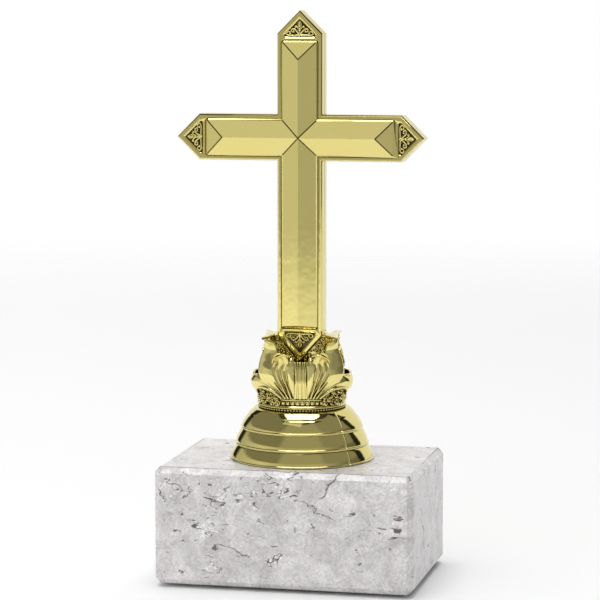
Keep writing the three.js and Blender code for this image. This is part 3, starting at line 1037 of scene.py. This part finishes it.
# the three-step foot; each step: its bottom, how far in its lip and its neck stand, its top
footLow, footHigh = (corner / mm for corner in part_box("stepped_foot"))
foot = {
    "radius": footHigh.x,
    "low": footLow.z,
    "top": footHigh.z,
    "steps": ((0.0, 0.0, 2.0, 4.75), (4.75, 1.6, 3.75, 9.6), (9.6, 3.4, 5.6, 13.7)),
    "shoulder": ((5.8, 2.1), (5.95, 1.85), (6.15, 1.6), (7.35, 0.4), (7.6, 0.2), (7.9, 0.07), (8.3, 0.0)),
    "lip": 0.36,
    "belly": 0.16,
    "partingTurns": (math.radians(54), math.radians(234)),
    "partingWidth": math.radians(0.45),
    "partingRise": 0.1,
}


def steppedFoot():
    radius, low, lip = foot["radius"], foot["low"], foot["lip"]
    outer = []
    for bottom, lipIn, neckIn, top in foot["steps"]:
        z = low + bottom
        outward = radius - lipIn
        outer += [(outward - 0.45, z + 0.02), (outward - 0.2, z if bottom == 0 else z - 0.04)]
        for k in range(5):
            turn = math.radians(-60 + 35 * k)
            outer.append((outward - lip + lip * math.cos(turn), z + lip + lip * math.sin(turn)))
        start, neck, height = outward - lip * 0.4, radius - neckIn, top - bottom
        for k in range(1, 7):
            t = k / 6
            belly = foot["belly"] * math.sin(math.pi * t)
            outer.append((start + (neck - start) * t + belly, z + 2 * lip + (height - 2 * lip) * t))
    top = foot["top"]
    outer += [(radius - inward, top - below) for inward, below in foot["shoulder"]]
    outer += [(boreRadius, top)]
    # the hollow inside, from the bore outwards
    inner = [
        (boreRadius, low + 0.05), (6, low + 0.05), (6, top - 1.7), (12.4, top - 1.7),
        (radius - 7.4, top - 2.6), (radius - 2.2, low + 0.05), (radius - 1.9, low),
    ]
    profile = [p for i, p in enumerate(outer) if i == 0 or (Vector(p) - Vector(outer[i - 1])).length > 0.02]
    turns = sorted(fullTurn(180) + [
        middle + share * foot["partingWidth"]
        for middle in foot["partingTurns"]
        for share in (-1, -0.4, 0.4, 1)
    ])
    shape = newShape()
    turned(shape, profile + inner, turns)
    # two fine parting lines stand up from the outer face
    for i, p in enumerate(shape["points"]):
        flat = Vector((p.x, p.y))
        if flat.length < radius - 7.2 or p.z < low + 0.02:
            continue
        turn = math.atan2(p.x, -p.y) % (2 * math.pi)
        gap = min(abs(turn - middle) for middle in foot["partingTurns"])
        if gap < foot["partingWidth"] * 0.6 and i % (len(profile) + len(inner)) < len(profile):
            flat = flat * (1 + foot["partingRise"] / flat.length)
            shape["points"][i] = Vector((flat.x, flat.y, p.z))
    return shape


# the leaf capital
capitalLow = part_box("leaf_capital")[0] / mm
capital = {
    "base": capitalLow.z,
    "turn": 11,
    "cup": [(12.5, 0.0), (12.55, 0.4), (12.2, 2.5), (12.1, 6.0), (11.6, 8.0), (10.4, 9.5), (9.0, 10.1)],
    "coreLow": 7.0,
    "sideWall": 10.45,
    "plateLow": 17.7,
    "plateHigh": 18.5,
    "grain": (0.26, 0.42),
    "grains": {"besideFoot": 180, "onSides": 170, "underLeaves": 420},
}
# the flat top plate has four points and hollow sides; the first half of its outline, from above
plateHalf = (
    (-10.0, -12.9), (-8.9, -9.0), (-8.6, -5.6), (-7.9, -3.0), (7.9, -2.7), (9.2, -3.9), (10.9, -6.0),
    (13.6, -8.8), (12.3, -4.4), (11.2, 0.6), (10.5, 5.6), (10.3, 9.0),
)
# the core between the cup and the plate, the same way round
coreHalf = (
    (-9.6, -8.8), (-8.4, -5.0), (-7.3, -2.45), (7.3, -2.45), (9.0, -3.9), (11.2, -6.2), (10.6, -2.0),
    (10.2, 3.0),
)
# stations: degrees from the front of the leaf pattern, radius, height, half width
leaves = {
    "corner": {
        "stations": [
            (20, 12.0, 0.2, 1.4), (31, 13.0, 3.6, 2.7), (43, 13.9, 7.8, 3.7), (48, 13.2, 11.2, 3.3),
            (49, 12.6, 14.2, 2.3), (48, 12.7, 15.8, 2.1), (46.5, 13.4, 16.8, 1.8), (45.5, 14.5, 17.1, 0.9),
        ],
        "crown": 0.26, "ribs": 0, "ribDepth": 0, "ribEnd": 1, "thick": 1.3, "along": 44, "across": 18,
    },
    "tulip": {
        "stations": [
            (14, 12.6, 0.2, 0.6), (17, 13.2, 2.4, 1.0), (24, 13.9, 5.6, 1.9), (28, 13.8, 8.8, 2.4),
            (26, 13.3, 11.3, 2.2), (29, 14.3, 12.9, 1.7), (33.5, 15.0, 11.9, 0.4),
        ],
        "crown": 0.1, "ribs": 2.4, "ribDepth": 0.62, "ribEnd": 0.84, "thick": 1.0, "along": 40, "across": 32,
    },
    "petal": {
        "stations": [
            (8, 12.6, 0.2, 0.5), (12, 13.1, 3.5, 1.0), (14.5, 13.1, 7.0, 1.4), (15, 12.7, 10.2, 1.5),
            (14, 11.6, 12.4, 0.5),
        ],
        "crown": 0.4, "ribs": 0, "ribDepth": 0, "ribEnd": 1, "thick": 0.9, "along": 26, "across": 12,
    },
    "side": {
        "stations": [
            (84, 13.0, 4.6, 0.7), (80, 13.0, 7.0, 1.7), (76, 12.3, 9.6, 2.3), (75, 11.6, 12.0, 2.0),
            (73, 11.9, 13.4, 1.5), (69, 12.5, 12.6, 0.4),
        ],
        "crown": 0.12, "ribs": 2.4, "ribDepth": 0.5, "ribEnd": 0.84, "thick": 1.0, "along": 32, "across": 26,
    },
    "low": {
        "stations": [
            (24, 12.8, 0.3, 0.5), (34, 13.5, 2.5, 1.1), (46, 14.2, 4.4, 1.6), (58, 14.6, 4.9, 2.0),
            (70, 14.9, 4.5, 2.3), (80, 15.0, 4.2, 2.3), (88, 14.8, 4.2, 1.9), (96, 14.2, 4.4, 1.0),
        ],
        "crown": 0.42, "ribs": 3, "ribDepth": 0.3, "ribEnd": 0.45, "thick": 1.1, "along": 36, "across": 24,
    },
}
# rolled edges and veins laid on the leaves: points (degrees, radius, height), start and end thickness
rolls = (
    (((36, 14.8, 11.0), (33, 15.2, 12.3), (27, 14.8, 13.2), (21, 13.9, 13.5), (16.5, 12.7, 13.2)), 0.18, 0.4),
    (((60, 14.5, 6.2), (69, 15.0, 6.5), (78, 15.1, 6.2), (87, 15.0, 5.0)), 0.22, 0.5),
    (((27, 13.3, 0.3), (35, 14.0, 1.9), (45, 14.5, 2.9), (55, 14.7, 3.1), (66, 14.7, 2.7), (76, 14.3, 1.7),
      (88, 13.4, 0.2)), 0.42, 0.5),
    (((13, 13.1, 0.2), (16, 13.8, 2.6), (19.5, 14.1, 5.4)), 0.26, 0.14),
    (((17, 13.2, 0.2), (22, 13.9, 2.8), (27, 14.4, 5.6)), 0.28, 0.14),
    (((21, 13.3, 0.2), (28, 13.9, 2.6), (35, 14.3, 5.0)), 0.28, 0.14),
)
# stems: degrees to the side and thickness; their paths: spread, radius, height
stems = ((-7.4, 0.4), (-4.1, 0.3), (-1.0, 0.42), (2.0, 0.26), (4.6, 0.38), (7.6, 0.3))
sideStem = ((1, 12.8, 4.6), (1, 12.4, 8), (1.2, 11.3, 11), (1.8, 10.8, 13.2), (2.6, 10.5, 14.6))
frontStem = ((1, 12.8, 0.3), (0.85, 13.0, 4), (0.8, 12.9, 7.0), (0.9, 12.7, 9.2), (1.2, 11.9, 11.0))


def onCapital(degrees, radius, height):
    turn = math.radians(degrees + capital["turn"])
    return Vector((radius * math.sin(turn), -radius * math.cos(turn), capital["base"] + height))


def leafBody(shape, leaf, flip, behind):
    steps, across = leaf["along"], leaf["across"]
    way, back = (-1 if flip else 1), (180 if behind else 0)
    stations = [(*onCapital(way * d + back, r, h), w) for d, r, h, w in leaf["stations"]]
    line = smoothLine(stations, steps)
    spots = [Vector(p[:3]) for p in line]
    outward = Vector((spots[0].x, spots[0].y, 0)).normalized()
    sections = []
    for i, spot in enumerate(spots):
        along = (spots[min(i + 1, steps)] - spots[max(i - 1, 0)]).normalized()
        outward = (outward - along * outward.dot(along)).normalized()
        side = along.cross(outward)
        t = i / steps
        half = max(line[i][3], 0.12)
        # the ribs fade in at the root and out towards the tip
        fade = max(0, min(1, (leaf["ribEnd"] - t) * 4)) * min(1, 0.3 + t * 4)
        top, bottom = [], []
        for j in range(across + 1):
            s = -1 + 2 * j / across
            lift = leaf["crown"] * half * (1 - s * s)
            if leaf["ribs"]:
                valley = 0.5 + 0.5 * math.cos(math.pi * leaf["ribs"] * s + 0.9 * math.sin(6 * t))
                lift -= leaf["ribDepth"] * fade * valley * (1 - abs(s) ** 6)
            thick = leaf["thick"] * (1 - abs(s) ** 2.5) * min(1, half)  # thin at the edges
            top.append(spot + side * (s * half) + outward * lift)
            bottom.append(spot + side * (s * half) + outward * (lift - 0.14 - thick))
        sections.append(top + bottom[::-1])
    sweep(shape, sections)


def laidRope(shape, points, start, end):
    # a stem or a rolled edge, from its start thickness to its end thickness
    steps = 20
    line = [Vector(p) for p in smoothLine([tuple(p) for p in points], steps)]
    middle = line[steps // 2]
    radii = [start + (end - start) * k / steps for k in range(steps + 1)]
    rope(shape, line, radii, Vector((middle.x, middle.y, 0)).normalized())


def stippleSpots(draw):
    spots = []
    # in the hollow beside the cross foot, outside its slanting edges
    for k in range(capital["grains"]["besideFoot"]):
        h = draw.uniform(10.8, capital["plateLow"])
        x = draw.choice((-1, 1)) * draw.uniform((h - 9.6) * 0.86, 8.2)
        y = -2.75 - max(0, abs(x) - 8.0) * (1.6 if x < 0 else 0.5)
        spots.append(Vector((x, y, capital["base"] + h)))
    # on the side walls of the core
    for k in range(capital["grains"]["onSides"]):
        y, h = draw.uniform(-5.6, 5.6), draw.uniform(8.5, capital["plateLow"])
        spots.append(Vector((draw.choice((-1, 1)) * capital["sideWall"], y, capital["base"] + h)))
    # under the arch of the low leaves, and down the side of the ring
    for k in range(capital["grains"]["underLeaves"]):
        d = draw.uniform(30, 90)
        arch = 3.6 - abs(d - 56) * 0.08
        h = draw.uniform(-2.2, arch)
        out = 13.1 if h < 0.3 else 12.7
        spots.append(onCapital(draw.choice((-1, 1)) * d, out + draw.uniform(0, 0.45), h))
    return spots


def leafCapital():
    shape = newShape()
    base = capital["base"]
    cup = [(r, base + h) for r, h in capital["cup"]]
    turned(shape, cup + [(boreRadius, cup[-1][1]), (boreRadius, base)], fullTurn(96))

    # the core, then the plate with its softened edges; both are the same turned half round
    half = [Vector(p) for p in coreHalf]
    core = softCorners(half + [-p for p in half], 0.3, 2, False)
    neck = [addRing(shape, lifted(core, base + h)) for h in (capital["coreLow"], capital["plateLow"])]
    wall(shape, *neck)
    cap(shape, [neck[0]], -up)
    cap(shape, [neck[1]], up)
    half = [Vector(p) for p in plateHalf]
    plate = softCorners(half + [-p for p in half], 0.35, 2, False)
    low, high = base + capital["plateLow"], base + capital["plateHigh"]
    rings = [addRing(shape, lifted(grown(plate, -inward), height)) for inward, height in (
        (0.25, low), (0.02, low + 0.2), (0.0, high - 0.18), (0.2, high))]
    wall(shape, *rings)
    cap(shape, [rings[0]], -up)
    cap(shape, [rings[-1]], up)

    for leaf in leaves.values():
        for flip in (False, True):
            for behind in (False, True):
                leafBody(shape, leaf, flip, behind)
    for behind in (0, 180):
        for way in (-1, 1):
            for points, start, end in rolls:
                laidRope(shape, [onCapital(way * d + behind, r, h) for d, r, h in points], start, end)
        for d, size in stems:
            for path, facing, root in ((sideStem, behind + 90, 1.2), (frontStem, behind, 1.3)):
                points = [onCapital(facing + d * spread, r, h) for spread, r, h in path]
                laidRope(shape, points, size * root, size)
    # the stippled ground, a small ball for each grain
    draw = random.Random(7)
    for spot in stippleSpots(draw):
        size = draw.uniform(*capital["grain"])
        ball(shape, spot, size, 5, 6)
        ball(shape, Vector((-spot.x, -spot.y, spot.z)), size, 5, 6)
    return shape


# the ring between the foot and the leaves
collar = {
    "low": (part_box("collar_ring")[0] / mm).z,
    "beads": 88,
    "bead": 0.45,
    "beadCircle": 13.15,
    "beadHeight": 0.46,
    "slope": [(13.4, 0.92), (13.6, 1.0), (13.68, 1.14), (13.64, 1.28), (12.84, 2.08), (12.45, 2.14)],
    "band": (12.5, 3.62, 0.38),
    "dentils": 54,
    "dentilReach": 0.85,
    "dentil": (1.0, 0.5, 1.15),
    "dentilCircle": 12.7,
    "dentilLow": 2.1,
}


def collarRing():
    shape = newShape()
    low = collar["low"]
    body = [(boreRadius, 0.0), (12.6, 0.0), (12.8, 0.15), (12.8, 0.85), *collar["slope"]]
    radius, height, size = collar["band"]
    arc = (math.radians(d) for d in range(-80, 95, 20))
    body += [(radius + size * math.cos(a), height + size * math.sin(a)) for a in arc]
    body += [(12.2, 4.0), (boreRadius, 4.0)]
    turned(shape, [(r, low + h) for r, h in body], fullTurn(144))
    circle = collar["beadCircle"]
    for k in range(collar["beads"]):
        turn = 2 * math.pi * (k + 0.5) / collar["beads"]
        spot = Vector((circle * math.sin(turn), -circle * math.cos(turn), low + collar["beadHeight"]))
        ball(shape, spot, collar["bead"], 5, 8)
    width, deep, tall = collar["dentil"]
    for k in range(collar["dentils"]):
        turn = 2 * math.pi * k / collar["dentils"]
        if abs(math.cos(turn - math.radians(capital["turn"]))) < collar["dentilReach"]:
            continue
        out = Vector((math.sin(turn), -math.cos(turn), 0))
        side = Vector((math.cos(turn), math.sin(turn), 0))
        sections = []
        for share, height in ((0.7, 0), (1, 0.15), (1, tall - 0.15), (0.7, tall)):
            centre = out * collar["dentilCircle"] + up * (low + collar["dentilLow"] + height)
            w, d = width / 2 * share, deep * share
            sections.append([centre + side * a * w + out * b * d for a, b in (
                (-1, -0.6), (1, -0.6), (1, 0.7), (0.75, 1), (-0.75, 1), (-1, 0.7))])
        sweep(shape, sections)
    return shape


# the stone
stoneLow, stoneHigh = (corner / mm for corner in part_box("marble_block"))
stone = {"chamfer": 1.8, "corner": 0.4, "recess": 8.5, "recessBevel": 0.15, "recessTop": 13.0}


def marbleBlock():
    shape = newShape()
    x, y, c = stoneHigh.x, stoneHigh.y, stone["chamfer"]
    plan = [Vector(p) for p in (
        (x - c, -y), (x, c - y), (x, y - c), (x - c, y), (c - x, y), (-x, y - c), (-x, c - y), (c - x, -y))]
    plan = softCorners(plan, stone["corner"], 3)
    low, high = stoneLow.z, stoneHigh.z
    # the chamfer and its two softened edges, then the same upside down
    levels = [(c, 0.0), (c * 0.93, 0.03), (0.06, c - 0.12), (0.0, c + 0.06)]
    levels += [(inward, high - low - height) for inward, height in levels[::-1]]
    rings = [addRing(shape, lifted(grown(plan, -inward), low + height)) for inward, height in levels]
    wall(shape, *rings)
    cap(shape, [rings[-1]], up)
    recess, bevel = stone["recess"], stone["recessBevel"]
    mouth, throat, roof = (
        addRing(shape, [(r * math.cos(a), r * math.sin(a), height) for a in fullTurn(64)])
        for r, height in ((recess + bevel, low), (recess, low + bevel), (recess, stone["recessTop"])))
    wall(shape, mouth[::-1], throat[::-1], roof[::-1])
    cap(shape, [roof], -up)
    cap(shape, [rings[0], mouth], -up)
    return shape


# fasteners
nut = {"bevel": 0.55, "endShare": 0.86, "bore": 3.1, "sides": 48}


def hexNut(node):
    low, high = (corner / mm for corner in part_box(node))
    halfFlats = (high.x - low.x) / 2
    size = (high.x - low.x) / math.sqrt(3)
    bottom, top, bevel, endShare = low.z, high.z, nut["bevel"], nut["endShare"]
    turns = fullTurn(nut["sides"])
    shape = newShape()
    sections = []
    for height, share in ((bottom, endShare), (bottom + bevel, 1.0), (top - bevel, 1.0), (top, endShare)):
        ring = []
        for a in turns:
            flat = halfFlats / math.cos((a + math.pi / 6) % (math.pi / 3) - math.pi / 6)
            reach = min(flat, size * share)
            ring.append((reach * math.cos(a), reach * math.sin(a), height))
        sections.append(addRing(shape, ring))
    bore = []
    for height in (top, bottom):
        circle = [(nut["bore"] * math.cos(a), nut["bore"] * math.sin(a), height) for a in turns]
        bore.append(addRing(shape, circle))
    wall(shape, *sections, bore[0], bore[1], sections[0])
    return shape


washer = {"bore": 3.2, "soft": 0.15}


def flatWasher():
    low, high = (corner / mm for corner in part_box("base_washer"))
    bore, soft, outer = washer["bore"], washer["soft"], high.x
    shape = newShape()
    turned(shape, [
        (bore, low.z), (outer - soft, low.z), (outer, low.z + soft),
        (outer, high.z - soft), (outer - soft, high.z), (bore, high.z),
    ], fullTurn(64))
    return shape


rod = {"pitch": 1.0, "depth": 0.5, "sides": 32, "stepsPerTurn": 8}


def threadedRod():
    low, high = (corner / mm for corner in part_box("threaded_rod"))
    sides, pitch = rod["sides"], rod["pitch"]
    steps = int((high.z - low.z) / pitch * rod["stepsPerTurn"])
    shape = newShape()
    sections = []
    for i in range(steps + 1):
        z = low.z + (high.z - low.z) * i / steps
        end = min(1, min(z - low.z, high.z - z) / 0.5 + 0.35)  # the ends are turned down
        ring = []
        for k in range(sides):
            a = 2 * math.pi * k / sides
            tooth = abs(((z / pitch - k / sides) % 1) * 2 - 1)
            radius = (high.x - rod["depth"] * tooth) * (0.85 + 0.15 * end)
            ring.append(Vector((radius * math.cos(a), radius * math.sin(a), z)))
        sections.append(ring)
    sweep(shape, sections)
    return shape


# felt pads; levels: share of the height, how far in
pad = {"levels": ((0, 0.5), (0.15, 0.12), (0.5, 0.0), (0.85, 0.1), (1.0, 0.45)), "fuzz": 0.16, "sides": 72}


def feltPad(node):
    low, high = (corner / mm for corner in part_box(node))
    middle = (low + high) / 2
    x, y = middle.x, middle.y
    radius, tall = (high.x - low.x) / 2, high.z - low.z
    shape = newShape()
    sections = []
    for height, inward in pad["levels"]:
        ring = []
        for a in fullTurn(pad["sides"]):
            ragged = noise.noise(Vector((x + 9 * math.cos(a), y + 9 * math.sin(a), height * 3)))
            r = radius - inward - pad["fuzz"] * (0.5 + 0.5 * ragged)
            ring.append(Vector((x + r * math.cos(a), y + r * math.sin(a), low.z + height * tall)))
        sections.append(ring)
    sweep(shape, sections)
    return shape


def ridgeLines(top):
    # the diagonal ridges get a fine painted dark line, a painted dark reflection, and the other ridges are
    # softened
    top.data.materials.append(giltPaintedShadeAndReflection)
    weights = top.data.attributes.new("bevel_weight_edge", "FLOAT", "EDGE")
    for edge in top.data.edges:
        a, b = (top.data.vertices[i].co for i in edge.vertices)
        across, rise = abs(a.x - b.x), abs(a.z - b.z)
        diagonal = min(across, rise) > 0.3 * mm
        weights.data[edge.index].value = 1.0 if diagonal else 0.0
    hips = top.modifiers.new("paintedDarkHips", "BEVEL")
    hips.limit_method = "WEIGHT"
    hips.width = cross["hipLine"] * mm
    hips.segments = 2
    hips.material = 1
    soften = top.modifiers.new("softRidges", "BEVEL")
    soften.width = cross["ridgeSoft"] * mm
    soften.segments = 3
    soften.limit_method = "ANGLE"
    soften.angle_limit = math.radians(35)
    top.modifiers.move(0, 2)  # the flat shading comes last


# build every piece
piece("marbleBlock", marbleBlock(), marble, ["marble_block"], 25)
piece("steppedFoot", steppedFoot(), gilt, ["stepped_foot"], 45, False)
piece("collarRing", collarRing(), giltFineLitAndShaded, ["collar_ring"], 50, False)
piece("leafCapital", leafCapital(), giltFineLitAndShaded, ["leaf_capital"], 70, False)
print("stone, foot, ring and leaves done")

for side in ("front", "back"):
    stand = onSide(side)
    piece(side + "CrossShell", moved(crossShell(), stand), gilt, [f"cross_{side}_shell"], 50)
    plate, roof = bevelledPanel()
    piece(side + "Panel", moved(plate, stand), gilt, [f"{side}_bevelled_panel"], 50)
    top = piece(side + "PanelRoof", moved(roof, stand), gilt, [f"{side}_bevelled_panel"], 12)
    ridgeLines(top)
    for name, (turn, reach) in arms.items():
        spun = moved(filigree(reach), stand @ Matrix.Rotation(turn, 4, "Z"))
        node = f"{side}_filigree_{name}"
        piece(f"{side}Filigree_{name}", spun, giltFineLitAndShaded, [node], 60, False)
print("cross done")

piece("baseNut", hexNut("base_nut"), zinc, ["base_nut"], 30)
piece("captiveNut", hexNut("captive_nut"), zinc, ["captive_nut"], 30)
piece("baseWasher", flatWasher(), zinc, ["base_washer"], 30)
piece("threadedRod", threadedRod(), zinc, ["threaded_rod"], 60, False)
for corner in ("front_left", "front_right", "rear_left", "rear_right"):
    piece(f"feltPad_{corner}", feltPad(f"felt_pad_{corner}"), felt, [f"felt_pad_{corner}"], 60, False)
print("fasteners and pads done")

# camera, in millimetres and degrees
view = {"place": (176, -775, 180), "turn": 12.84, "tilt": -6.75, "lens": 156, "sensor": 36}
cameraData = bpy.data.cameras.new("camera")
cameraData.lens = view["lens"]
cameraData.sensor_width = view["sensor"]
camera = bpy.data.objects.new("camera", cameraData)
camera.location = Vector(view["place"]) * mm
camera.rotation_euler = (math.radians(90 + view["tilt"]), 0, math.radians(view["turn"]))
scene.collection.objects.link(camera)
scene.camera = camera

# floor, world and lights
floorRadius = 1.5
floorEdge = [(floorRadius * math.cos(a), floorRadius * math.sin(a), 0) for a in fullTurn(96)]
floorMesh = bpy.data.meshes.new("floor")
floorMesh.from_pydata(floorEdge, [], [tuple(range(len(floorEdge)))])
floor = bpy.data.objects.new("floor", floorMesh)
scene.collection.objects.link(floor)

floorMat = bpy.data.materials.new("paleFloor")
floorMat.use_nodes = True
nodes, links = floorMat.node_tree.nodes, floorMat.node_tree.links
nodes.clear()
paper = nodes.new("ShaderNodeBsdfDiffuse")
paper.label = "pale paper"
paper.location = (0, 100)
paper.inputs["Color"].default_value = (0.9, 0.9, 0.9, 1)
clear = nodes.new("ShaderNodeBsdfTransparent")
clear.label = "fades into the backdrop"
clear.location = (0, -50)
spot = nodes.new("ShaderNodeTexCoord")
spot.label = "place on the floor"
spot.location = (-600, 0)
away = nodes.new("ShaderNodeVectorMath")
away.label = "distance from the object"
away.operation = "LENGTH"
away.location = (-400, 0)
fade = nodes.new("ShaderNodeMapRange")
fade.label = "fade with distance"
fade.interpolation_type = "SMOOTHSTEP"
fade.location = (-200, 0)
fade.inputs["From Min"].default_value = 0.5
fade.inputs["From Max"].default_value = 1.2
mixFloor = nodes.new("ShaderNodeMixShader")
mixFloor.label = "paper to backdrop"
mixFloor.location = (200, 50)
floorOut = nodes.new("ShaderNodeOutputMaterial")
floorOut.label = "to the surface"
floorOut.location = (400, 50)
links.new(spot.outputs["Object"], away.inputs[0])
links.new(away.outputs["Value"], fade.inputs["Value"])
links.new(fade.outputs["Result"], mixFloor.inputs["Fac"])
links.new(paper.outputs["BSDF"], mixFloor.inputs[1])
links.new(clear.outputs["BSDF"], mixFloor.inputs[2])
links.new(mixFloor.outputs["Shader"], floorOut.inputs["Surface"])
floorMesh.materials.append(floorMat)

# the studio: bright behind, two dark posts, dim walls, a dark gap and a bright ceiling
world = bpy.data.worlds.new("studio")
scene.world = world
world.use_nodes = True
nodes, links = world.node_tree.nodes, world.node_tree.links
nodes.clear()
way = nodes.new("ShaderNodeTexCoord")
way.label = "direction"
way.location = (-1600, 0)
split = nodes.new("ShaderNodeSeparateXYZ")
split.label = "direction parts"
split.location = (-1400, 0)
toFront = nodes.new("ShaderNodeMath")
toFront.label = "towards the front"
toFront.operation = "MULTIPLY"
toFront.location = (-1200, 50)
toFront.inputs[1].default_value = -1
around = nodes.new("ShaderNodeMath")
around.label = "angle round the room"
around.operation = "ARCTAN2"
around.location = (-1000, 150)
turnShare = nodes.new("ShaderNodeMapRange")
turnShare.label = "whole turn from behind, front in the middle"
turnShare.location = (-800, 150)
turnShare.inputs["From Min"].default_value = -math.pi
turnShare.inputs["From Max"].default_value = math.pi
highRamp = nodes.new("ShaderNodeValToRGB")
highRamp.label = "walls above eye level"
highRamp.location = (-550, 250)
lowRamp = nodes.new("ShaderNodeValToRGB")
lowRamp.label = "walls at eye level"
lowRamp.location = (-550, 0)
walls = (
    (highRamp, ((-180, 0.9), (-140, 0.9), (-137, 0.02), (-127, 0.02), (-124, 0.23), (-34, 0.23), (-24, 0.37),
                (47, 0.37), (57, 0.28), (120, 0.28), (123, 0.02), (133, 0.02), (136, 0.9), (180, 0.9))),
    (lowRamp, ((-180, 0.9), (-140, 0.9), (-137, 0.02), (-126, 0.02), (-118, 0.5), (-55, 0.71), (-13, 0.46),
               (30, 0.52), (60, 0.38), (90, 0.2), (119, 0.15), (122, 0.02), (134, 0.02), (137, 0.9),
               (180, 0.9))),
)
for node, stops in walls:
    ramp = node.color_ramp
    ramp.elements.remove(ramp.elements[1])
    for k, (degrees, light) in enumerate(stops):
        stop = ramp.elements[0] if k == 0 else ramp.elements.new((degrees + 180) / 360)
        stop.position = (degrees + 180) / 360
        stop.color = (light, light, light, 1)
lift = nodes.new("ShaderNodeMapRange")
lift.label = "eye level to upper wall"
lift.interpolation_type = "SMOOTHSTEP"
lift.location = (-550, -250)
lift.inputs["From Min"].default_value = 0.27
lift.inputs["From Max"].default_value = 0.39
wallMix = nodes.new("ShaderNodeMix")
wallMix.label = "the whole wall"
wallMix.data_type = "RGBA"
wallMix.location = (-250, 150)
behind = nodes.new("ShaderNodeMath")
behind.label = "only behind the object"
behind.operation = "MAXIMUM"
behind.location = (-600, -450)
behind.inputs[1].default_value = 0.0
gapHeight = nodes.new("ShaderNodeMath")
gapHeight.label = "the gap hangs lower behind"
gapHeight.operation = "MULTIPLY_ADD"
gapHeight.location = (-420, -400)
gapHeight.inputs[1].default_value = 0.12
gap = nodes.new("ShaderNodeMapRange")
gap.label = "dark gap under the ceiling light"
gap.location = (-250, -150)
gap.inputs["From Min"].default_value = 0.87
gap.inputs["From Max"].default_value = 0.89
gapMix = nodes.new("ShaderNodeMix")
gapMix.label = "walls to dark gap"
gapMix.data_type = "RGBA"
gapMix.location = (0, 150)
gapMix.inputs["B"].default_value = (0.05, 0.05, 0.05, 1)
ceiling = nodes.new("ShaderNodeMapRange")
ceiling.label = "ceiling light"
ceiling.location = (0, -150)
ceiling.inputs["From Min"].default_value = 0.93
ceiling.inputs["From Max"].default_value = 0.94
overhead = nodes.new("ShaderNodeMix")
overhead.label = "dark gap to ceiling light"
overhead.data_type = "RGBA"
overhead.location = (200, 50)
overhead.inputs["B"].default_value = (4, 4, 4, 1)
reflected = nodes.new("ShaderNodeBackground")
reflected.label = "studio seen in the metal"
reflected.location = (250, 50)
plain = nodes.new("ShaderNodeBackground")
plain.label = "plain pale backdrop"
plain.location = (250, -120)
plain.inputs["Color"].default_value = (1, 1, 1, 1)
seen = nodes.new("ShaderNodeLightPath")
seen.label = "straight to the eye"
seen.location = (250, 350)
chosen = nodes.new("ShaderNodeMixShader")
chosen.label = "backdrop or studio"
chosen.location = (500, 50)
worldOut = nodes.new("ShaderNodeOutputWorld")
worldOut.label = "to the world"
worldOut.location = (700, 50)
links.new(way.outputs["Generated"], split.inputs["Vector"])
links.new(split.outputs["Y"], toFront.inputs[0])
links.new(split.outputs["X"], around.inputs[0])
links.new(toFront.outputs["Value"], around.inputs[1])
links.new(around.outputs["Value"], turnShare.inputs["Value"])
links.new(turnShare.outputs["Result"], highRamp.inputs["Fac"])
links.new(turnShare.outputs["Result"], lowRamp.inputs["Fac"])
links.new(split.outputs["Z"], lift.inputs["Value"])
links.new(lift.outputs["Result"], wallMix.inputs["Factor"])
links.new(lowRamp.outputs["Color"], wallMix.inputs["A"])
links.new(highRamp.outputs["Color"], wallMix.inputs["B"])
links.new(split.outputs["Y"], behind.inputs[0])
links.new(behind.outputs["Value"], gapHeight.inputs[0])
links.new(split.outputs["Z"], gapHeight.inputs[2])
links.new(gapHeight.outputs["Value"], gap.inputs["Value"])
links.new(gap.outputs["Result"], gapMix.inputs["Factor"])
links.new(wallMix.outputs["Result"], gapMix.inputs["A"])
links.new(split.outputs["Z"], ceiling.inputs["Value"])
links.new(ceiling.outputs["Result"], overhead.inputs["Factor"])
links.new(gapMix.outputs["Result"], overhead.inputs["A"])
links.new(overhead.outputs["Result"], reflected.inputs["Color"])
links.new(seen.outputs["Is Camera Ray"], chosen.inputs["Fac"])
links.new(reflected.outputs["Background"], chosen.inputs[1])
links.new(plain.outputs["Background"], chosen.inputs[2])
links.new(chosen.outputs["Shader"], worldOut.inputs["Surface"])

# lamps: name, place, aim, width and height in millimetres, power, only seen in reflections
lamps = (
    ("frontFill", (-250, -900, 350), (0, 0, 40), 900, 700, 1.5, False),
    ("topFill", (-850, -350, 1200), (-850, -350, 0), 2400, 2400, 10.2, False),
    ("armBox", (-22, -85, 213), (0, -5, 151), 92, 56, 0.006, True),
    ("sparkLeft", (-190, -250, 1000), (0, 0, 80), 150, 150, 0.6, True),
    ("sparkRight", (260, -200, 950), (0, 0, 80), 120, 120, 0.35, True),
)
for name, place, aim, width, height, power, mirrored in lamps:
    lampData = bpy.data.lights.new(name, "AREA")
    lampData.shape = "RECTANGLE"
    lampData.size = width * mm
    lampData.size_y = height * mm
    lampData.energy = power
    lamp = bpy.data.objects.new(name, lampData)
    lamp.location = Vector(place) * mm
    lamp.rotation_euler = ((Vector(aim) - Vector(place)).to_track_quat("-Z", "Y")).to_euler()
    lamp.visible_camera = False
    lamp.visible_glossy = mirrored
    lamp.visible_diffuse = not mirrored
    scene.collection.objects.link(lamp)

scene.view_settings.view_transform = "Standard"
scene.view_settings.look = "None"
print("camera, floor and lights done")
